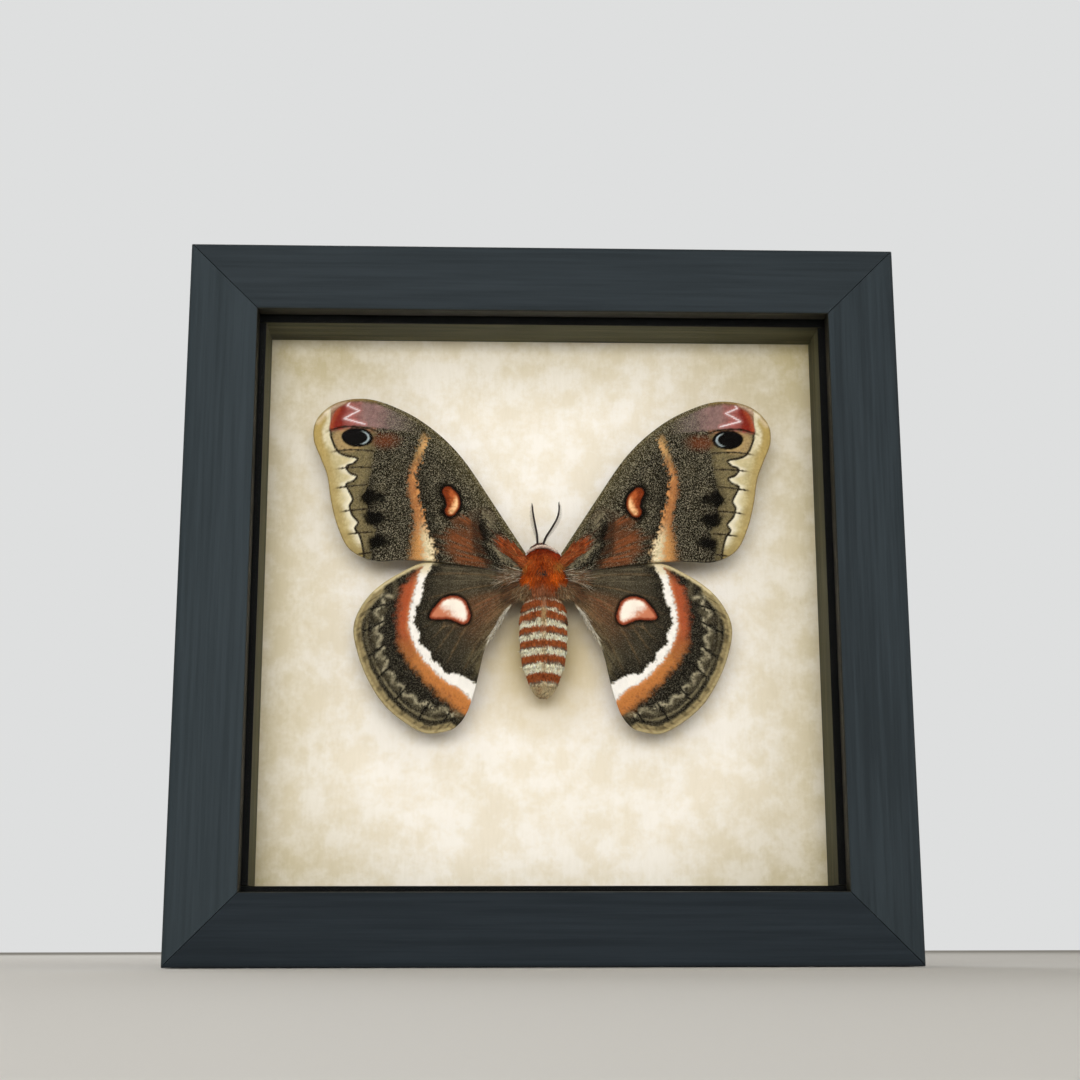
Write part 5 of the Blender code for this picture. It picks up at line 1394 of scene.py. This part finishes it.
z, turn, draw = scatter(THORAX_TUFTS, *THORAX_HEIGHTS, 33)
roots, ups = skin_ways(z, turn)
out = np.abs(roots[:, 0])
lengths = draw.uniform(*THORAX_LENGTHS, len(z)) * (1.0 - 0.4 * ease(z, 133.0, 137.0))
lengths *= 1.0 - 0.3 * ease(z, 124.5, 122.0)
fan = np.sign(roots[:, 0]) * (0.1 + 0.8 * ease(out, 3.5, 7.0))
lies = np.stack([fan, 0 * z, -1.0 + 0.4 * ease(out, 4.0, 7.5)], 1)
lies += 0.22 * draw.standard_normal(lies.shape)
colours = body_paint(roots[:, 0] + 0.7 * fan * lengths, roots[:, 2] - 0.75 * lengths, roots[:, 1])
coat = tufts("coat_thorax", roots, ups, lies, lengths, draw.uniform(*THORAX_WIDTHS, len(z)),
             draw.uniform(0.12, 0.4, len(z)), colours, np.stack([turn, z], 1), 34)


# Collar and head hair: a pale ruff across the front of the thorax, and short red-brown hair on the head.
# The ruff stands up and forward from the neck, tallest at the middle.

COLLAR_TOP = 137.9
COLLAR_HALF = 4.7
COLLAR_TONE = (255, 226, 206)
COLLAR_TUFTS = 1500
HEAD_TONE = (112, 52, 30)
HEAD_TUFTS = 2200
EYE_PLACE = (2.55, 0.5, 0.5)
EYE_CLEAR = 1.5


def eye_centre(side):
    aside, behind, above = EYE_PLACE
    return HEAD_CENTRE[0] + side * aside, HEAD_CENTRE[1] + behind, HEAD_CENTRE[2] + above


draw = np.random.default_rng(41)
share = draw.uniform(-1, 1, COLLAR_TUFTS)
x = COLLAR_HALF * share - 0.5
z = COLLAR_TOP + 0.2 - 1.8 * np.abs(share) ** 1.8
z -= draw.uniform(0.0, 0.35, len(x)) * (1 - 0.6 * np.abs(share))
deep = 12.6 - 1.4 * (1 - share ** 2) + draw.uniform(0.0, 2.4, len(x))
roots = np.stack([x, deep, z], 1)
ups = np.stack([0.5 * share, -np.ones_like(x), 0.35 + 0 * x], 1)
lies = np.stack([1.1 * share, 0.1 + 0 * x, 1.0 - 0.6 * np.abs(share)], 1)
pale = plain_paint(COLLAR_TONE, len(x)) * draw.uniform(0.75, 1.05, (len(x), 1))
coat = tufts("coat_collar", roots, ups, lies, draw.uniform(0.55, 0.95, len(x)),
             draw.uniform(0.16, 0.26, len(x)), draw.uniform(0.05, 0.2, len(x)), pale,
             np.stack([share, deep], 1), 42, root_shade=0.85)

ways = draw.standard_normal((HEAD_TUFTS, 3))
ways /= np.linalg.norm(ways, axis=1)[:, None]
ways = ways[ways[:, 2] > -0.55]
roots = ways * HEAD_HALF + HEAD_CENTRE
clear_of_eyes = np.ones(len(ways), bool)
for side in SIDES.values():
    clear_of_eyes &= np.linalg.norm(roots - eye_centre(side), axis=1) > EYE_CLEAR
roots, ways = roots[clear_of_eyes], ways[clear_of_eyes]
lies = np.stack([0.2 * ways[:, 0], 0.3 + 0 * ways[:, 0], 0.5 - 1.0 * (ways[:, 2] > 0.4)], 1)
brown = plain_paint(HEAD_TONE, len(roots)) * draw.uniform(0.7, 1.3, (len(roots), 1))
coat = tufts("coat_head", roots, ways, lies, draw.uniform(0.6, 1.1, len(roots)),
             draw.uniform(0.12, 0.2, len(roots)), draw.uniform(0.25, 0.6, len(roots)), brown,
             np.stack([np.arctan2(ways[:, 0], -ways[:, 1]), ways[:, 2]], 1), 43)


# Eyes: two round compound eyes, near black, of fine facets under a clear cornea.
# Each is a separate dome at the side of the head.

EYE_RADIUS = 1.35
FACETS_PER_METRE = 8200.0
FACET_TONE = tone(38, 24, 18)
FACET_RIM_TONE = tone(14, 10, 9)

eye_finish, tree, shader = new_finish("compound eye", Roughness=0.2, Coat_Weight=0.6, Coat_Roughness=0.1)
facets = node(tree, "ShaderNodeTexVoronoi", {"Vector": object_place(tree), "Scale": FACETS_PER_METRE})
facets = facets.outputs["Distance"]
eye_tone = blend_tones(tree, stretch(tree, facets, 0.2, 0.7), FACET_TONE, FACET_RIM_TONE)
link(tree, eye_tone, shader.inputs["Base Color"])
raise_relief(tree, shader, facets, 0.5, 0.05 * MM, invert=True)
for side_name, side in SIDES.items():
    eye_spots, eye_faces = ball_arrays(eye_centre(side), (0.85 * EYE_RADIUS, EYE_RADIUS, EYE_RADIUS))
    eye = plain_mesh(f"faceted_eye_{side_name}", placed(eye_spots), eye_faces)
    eye.data.polygons.foreach_set("use_smooth", [True] * len(eye.data.polygons))
    eye.data.materials.append(eye_finish)
    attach(eye, "root")
    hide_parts(f"eye_{side_name}")


# Antennae: a tapering black shaft with a comb of fine grey rays, longest at mid-length.
# One row of rays points outward and a shorter one backward, each ray leaning towards the tip.

ANTENNA_ROOT_DEPTH = 16.8
ANTENNA_TIP_DEPTH = 14.5
ANTENNA_PATHS = {
    "left": [(-1.9, 140.0), (-2.1, 143.2), (-2.9, 147.4), (-3.5, 150.8), (-3.8, 153.7)],
    "right": [(0.1, 140.0), (1.0, 142.4), (3.0, 145.6), (4.7, 148.7), (5.4, 151.5), (5.3, 154.2)],
}
SHAFT_TONES = (tone(48, 36, 28), tone(24, 18, 14))
RAY_TONES = (tone(150, 138, 118), tone(98, 88, 74))
COMB = {"Shaft at root": 0.40 * MM, "Shaft at tip": 0.27 * MM, "Ray length": 1.6 * MM,
        "Ray thickness": 0.08 * MM, "Ray spacing": 0.28 * MM, "Ray lean": 0.55}


def comb_tree():
    """Geometry nodes that clothe a path with a tapering shaft and two rows of rays."""
    tree = bpy.data.node_groups.new("Antenna comb", "GeometryNodeTree")
    tree.interface.new_socket("Geometry", in_out="INPUT", socket_type="NodeSocketGeometry")
    for name in COMB:
        tree.interface.new_socket(name, in_out="INPUT", socket_type="NodeSocketFloat")
    tree.interface.new_socket("Outward", in_out="INPUT", socket_type="NodeSocketFloat")
    for name in ("Shaft finish", "Ray finish"):
        tree.interface.new_socket(name, in_out="INPUT", socket_type="NodeSocketMaterial")
    tree.interface.new_socket("Geometry", in_out="OUTPUT", socket_type="NodeSocketGeometry")
    given = node(tree, "NodeGroupInput").outputs
    curve = node(tree, "GeometryNodeMeshToCurve", {"Mesh": given["Geometry"]}).outputs[0]

    share = node(tree, "GeometryNodeSplineParameter").outputs["Factor"]
    taper = stretch(tree, share, 0.0, 1.0, given["Shaft at root"], given["Shaft at tip"])
    taper = sums(tree, "MULTIPLY", taper, stretch(tree, share, 0.93, 1.0, 1.0, 0.25))
    ring = node(tree, "GeometryNodeCurvePrimitiveCircle", {"Resolution": 8, "Radius": 1.0}).outputs["Curve"]
    shaft = node(tree, "GeometryNodeCurveToMesh", {"Curve": curve, "Profile Curve": ring, "Scale": taper,
                                                   "Fill Caps": True}).outputs[0]

    stored = node(tree, "GeometryNodeCaptureAttribute", {"Geometry": curve})
    stored.capture_items.new("FLOAT", "share")
    link(tree, share, stored.inputs[1])
    spots = node(tree, "GeometryNodeCurveToPoints", {"Curve": stored.outputs["Geometry"],
                                                     "Length": given["Ray spacing"]}, mode="LENGTH").outputs
    middle = sums(tree, "SINE", sums(tree, "MULTIPLY", stored.outputs[1], math.pi))
    swell = sums(tree, "ADD", sums(tree, "MULTIPLY", middle, 0.75), 0.25)
    side_way = vectors(tree, "CROSS_PRODUCT", {0: spots["Tangent"], 1: (0.0, 1.0, 0.0)})
    outward = vectors(tree, "SCALE", {0: side_way, "Scale": given["Outward"]})
    leaning = vectors(tree, "SCALE", {0: spots["Tangent"], "Scale": given["Ray lean"]})
    ray = node(tree, "GeometryNodeMeshCone", {"Vertices": 4, "Radius Top": 0.35, "Radius Bottom": 1.0,
                                              "Depth": 1.0}).outputs["Mesh"]
    joined_up = node(tree, "GeometryNodeJoinGeometry")
    link(tree, shaft, joined_up.inputs[0])
    ray = node(tree, "GeometryNodeStoreNamedAttribute", {"Geometry": ray, "Name": "ray", "Value": True},
               data_type="BOOLEAN", domain="FACE").outputs[0]
    for way, long in ((outward, 1.0), ((0.0, 1.0, 0.0), 0.7)):
        aim = vectors(tree, "ADD", {0: way, 1: leaning})
        turned = node(tree, "FunctionNodeAlignRotationToVector", {"Vector": aim}, axis="Z").outputs[0]
        length = sums(tree, "MULTIPLY", sums(tree, "MULTIPLY", swell, given["Ray length"]), long)
        size = node(tree, "ShaderNodeCombineXYZ", {"X": given["Ray thickness"], "Y": given["Ray thickness"],
                                                   "Z": length}).outputs[0]
        rays = node(tree, "GeometryNodeInstanceOnPoints", {"Points": spots["Points"], "Instance": ray,
                                                           "Rotation": turned, "Scale": size}).outputs[0]
        link(tree, rays, joined_up.inputs[0])
    real = node(tree, "GeometryNodeRealizeInstances", {"Geometry": joined_up.outputs[0]}).outputs[0]
    dressed = node(tree, "GeometryNodeSetMaterial",
                   {"Geometry": real, "Material": given["Shaft finish"]}).outputs[0]
    is_ray = node(tree, "GeometryNodeInputNamedAttribute", {"Name": "ray"},
                  data_type="BOOLEAN").outputs["Attribute"]
    dressed = node(tree, "GeometryNodeSetMaterial", {"Geometry": dressed, "Selection": is_ray,
                                                     "Material": given["Ray finish"]}).outputs[0]
    node(tree, "NodeGroupOutput", {"Geometry": dressed})
    return tree


def set_input(modifier, tree, name, value):
    """Sets a Geometry Nodes input by its socket's identifier."""
    for item in tree.interface.items_tree:
        if item.name == name and item.in_out == "INPUT":
            modifier[item.identifier] = value


shaft_finish = speckled("antenna shaft", SHAFT_TONES, 2600.0, 0.02 * MM, Roughness=0.45)
ray_finish = speckled("antenna rays", RAY_TONES, 2600.0, 0.02 * MM, Roughness=0.7)
comb = comb_tree()
for side_name, side in SIDES.items():
    route = smooth_curve(ANTENNA_PATHS[side_name], 14)
    run = np.linspace(0, 1, len(route))
    deep = ANTENNA_ROOT_DEPTH + (ANTENNA_TIP_DEPTH - ANTENNA_ROOT_DEPTH) * run
    line = placed(np.stack([route[:, 0], deep, route[:, 1]], 1))
    line_mesh = bpy.data.meshes.new(f"combed_antenna_{side_name}")
    line_mesh.from_pydata([tuple(p) for p in line], [(i, i + 1) for i in range(len(line) - 1)], [])
    antenna = in_scene(f"combed_antenna_{side_name}", line_mesh)
    clothed = antenna.modifiers.new("comb", "NODES")
    clothed.node_group = comb
    for name, value in COMB.items():
        set_input(clothed, comb, name, value)
    set_input(clothed, comb, "Outward", float(-side))
    set_input(clothed, comb, "Shaft finish", shaft_finish)
    set_input(clothed, comb, "Ray finish", ray_finish)
    as_plain(antenna)
    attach(antenna, "root")
    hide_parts(f"antenna_{side_name}")


# Pin: the blued steel insect pin that is pushed through the thorax and holds the moth.
# Its end shows in the middle of the moth's back, in a worn grey spot of the hair.

PIN_TONES = (tone(84, 86, 90), tone(46, 48, 52))

dress("pin", speckled("pin steel", PIN_TONES, 2400.0, 0.02 * MM, Roughness=0.6, Metallic=1.0))


# Long hair at the wings' roots and in the hindwings' fold.
# It sweeps out from the body over the wings in thin, nearly straight hairs: rust on the forewing's root,
# grey white between the wings, tan and olive beside the abdomen, and white along the fold's edge.

ROOT_HAIR = {
    "forewing_root": dict(
        count=1200, start=(5.0, 1.5), end=(11.2, 7.7), aim=(1.0, 0.55), aim_end=(1.0, 1.0),
        length=(1.6, 3.6), width=(0.12, 0.22), seed=51, behind=0.0, above=0.5, spread=0.7,
        tones=[(172, 80, 36), (144, 60, 28), (198, 110, 58), (146, 92, 52)]),
    "between_wings": dict(
        count=260, start=(7.5, -0.8), end=(10.0, -3.4), aim=(1.0, 0.06), aim_end=(1.0, -0.2),
        length=(3.5, 9.0), width=(0.08, 0.15), seed=53, behind=0.0, above=1.0, spread=0.55,
        tones=[(226, 214, 190), (162, 146, 118), (150, 96, 58), (98, 84, 64)]),
    "hindwing_root": dict(
        count=480, start=(6.8, -3.4), end=(8.6, -7.2), aim=(1.0, -0.36), aim_end=(0.95, -0.72),
        length=(3.0, 8.0), width=(0.08, 0.16), seed=55, behind=1.5, above=0.5, spread=0.55,
        tones=[(142, 92, 60), (104, 88, 66), (160, 116, 80), (92, 80, 64)]),
    "beside_abdomen": dict(
        count=520, start=(4.4, -6.2), end=(8.8, -8.4), aim=(0.3, -1.0), aim_end=(0.8, -1.0),
        length=(1.3, 2.7), width=(0.07, 0.14), seed=57, behind=0.0, above=2.2, spread=1.0,
        tones=[(162, 130, 90), (134, 104, 72), (190, 168, 128), (130, 88, 60), (62, 52, 42)]),
    "fold_edge": dict(
        count=260, start=(12.3, -12.8), end=(17.3, -22.0), aim=(0.5, -1.0), aim_end=(0.42, -1.0),
        length=(1.5, 3.0), width=(0.08, 0.14), seed=59, behind=1.5, above=0.2, spread=0.3,
        tones=[(236, 230, 214), (216, 206, 184), (160, 148, 120)]),
}


def wing_hair(name, side, count, start, end, aim, aim_end, length, width, seed, behind, above, spread, tones):
    """Hairs rooted along a line, in wing millimetres, aimed one way at its start and another at its end."""
    draw = np.random.default_rng(seed)
    share = draw.uniform(0, 1, count)
    root = np.array(start) + share[:, None] * (np.array(end) - np.array(start))
    root += draw.normal(0, spread, (count, 2))
    way = np.array(aim) + share[:, None] * (np.array(aim_end) - np.array(aim))
    deep = wing_depth(root[:, 0]) + behind - above - draw.uniform(0.0, 0.5, count)
    roots = np.stack([side * root[:, 0], deep, WING_ROOT_Z + root[:, 1]], 1)
    lies = np.stack([side * way[:, 0], 0 * share, way[:, 1]], 1)
    lies /= np.linalg.norm(lies, axis=1)[:, None]
    ups = np.tile((0.0, -1.0, 0.0), (count, 1))
    pick = draw.integers(0, len(tones), count)
    colours = np.array([tone(*t)[:3] for t in tones])[pick]
    coat = tufts(name, roots, ups, lies, draw.uniform(*length, count), draw.uniform(*width, count),
                 draw.uniform(0.0, 0.07, count), colours, root, seed + 1, root_shade=0.75)


for side_name, side in SIDES.items():
    for place_name, hair in ROOT_HAIR.items():
        wing_hair(f"coat_{place_name}_{side_name}", side, **hair)
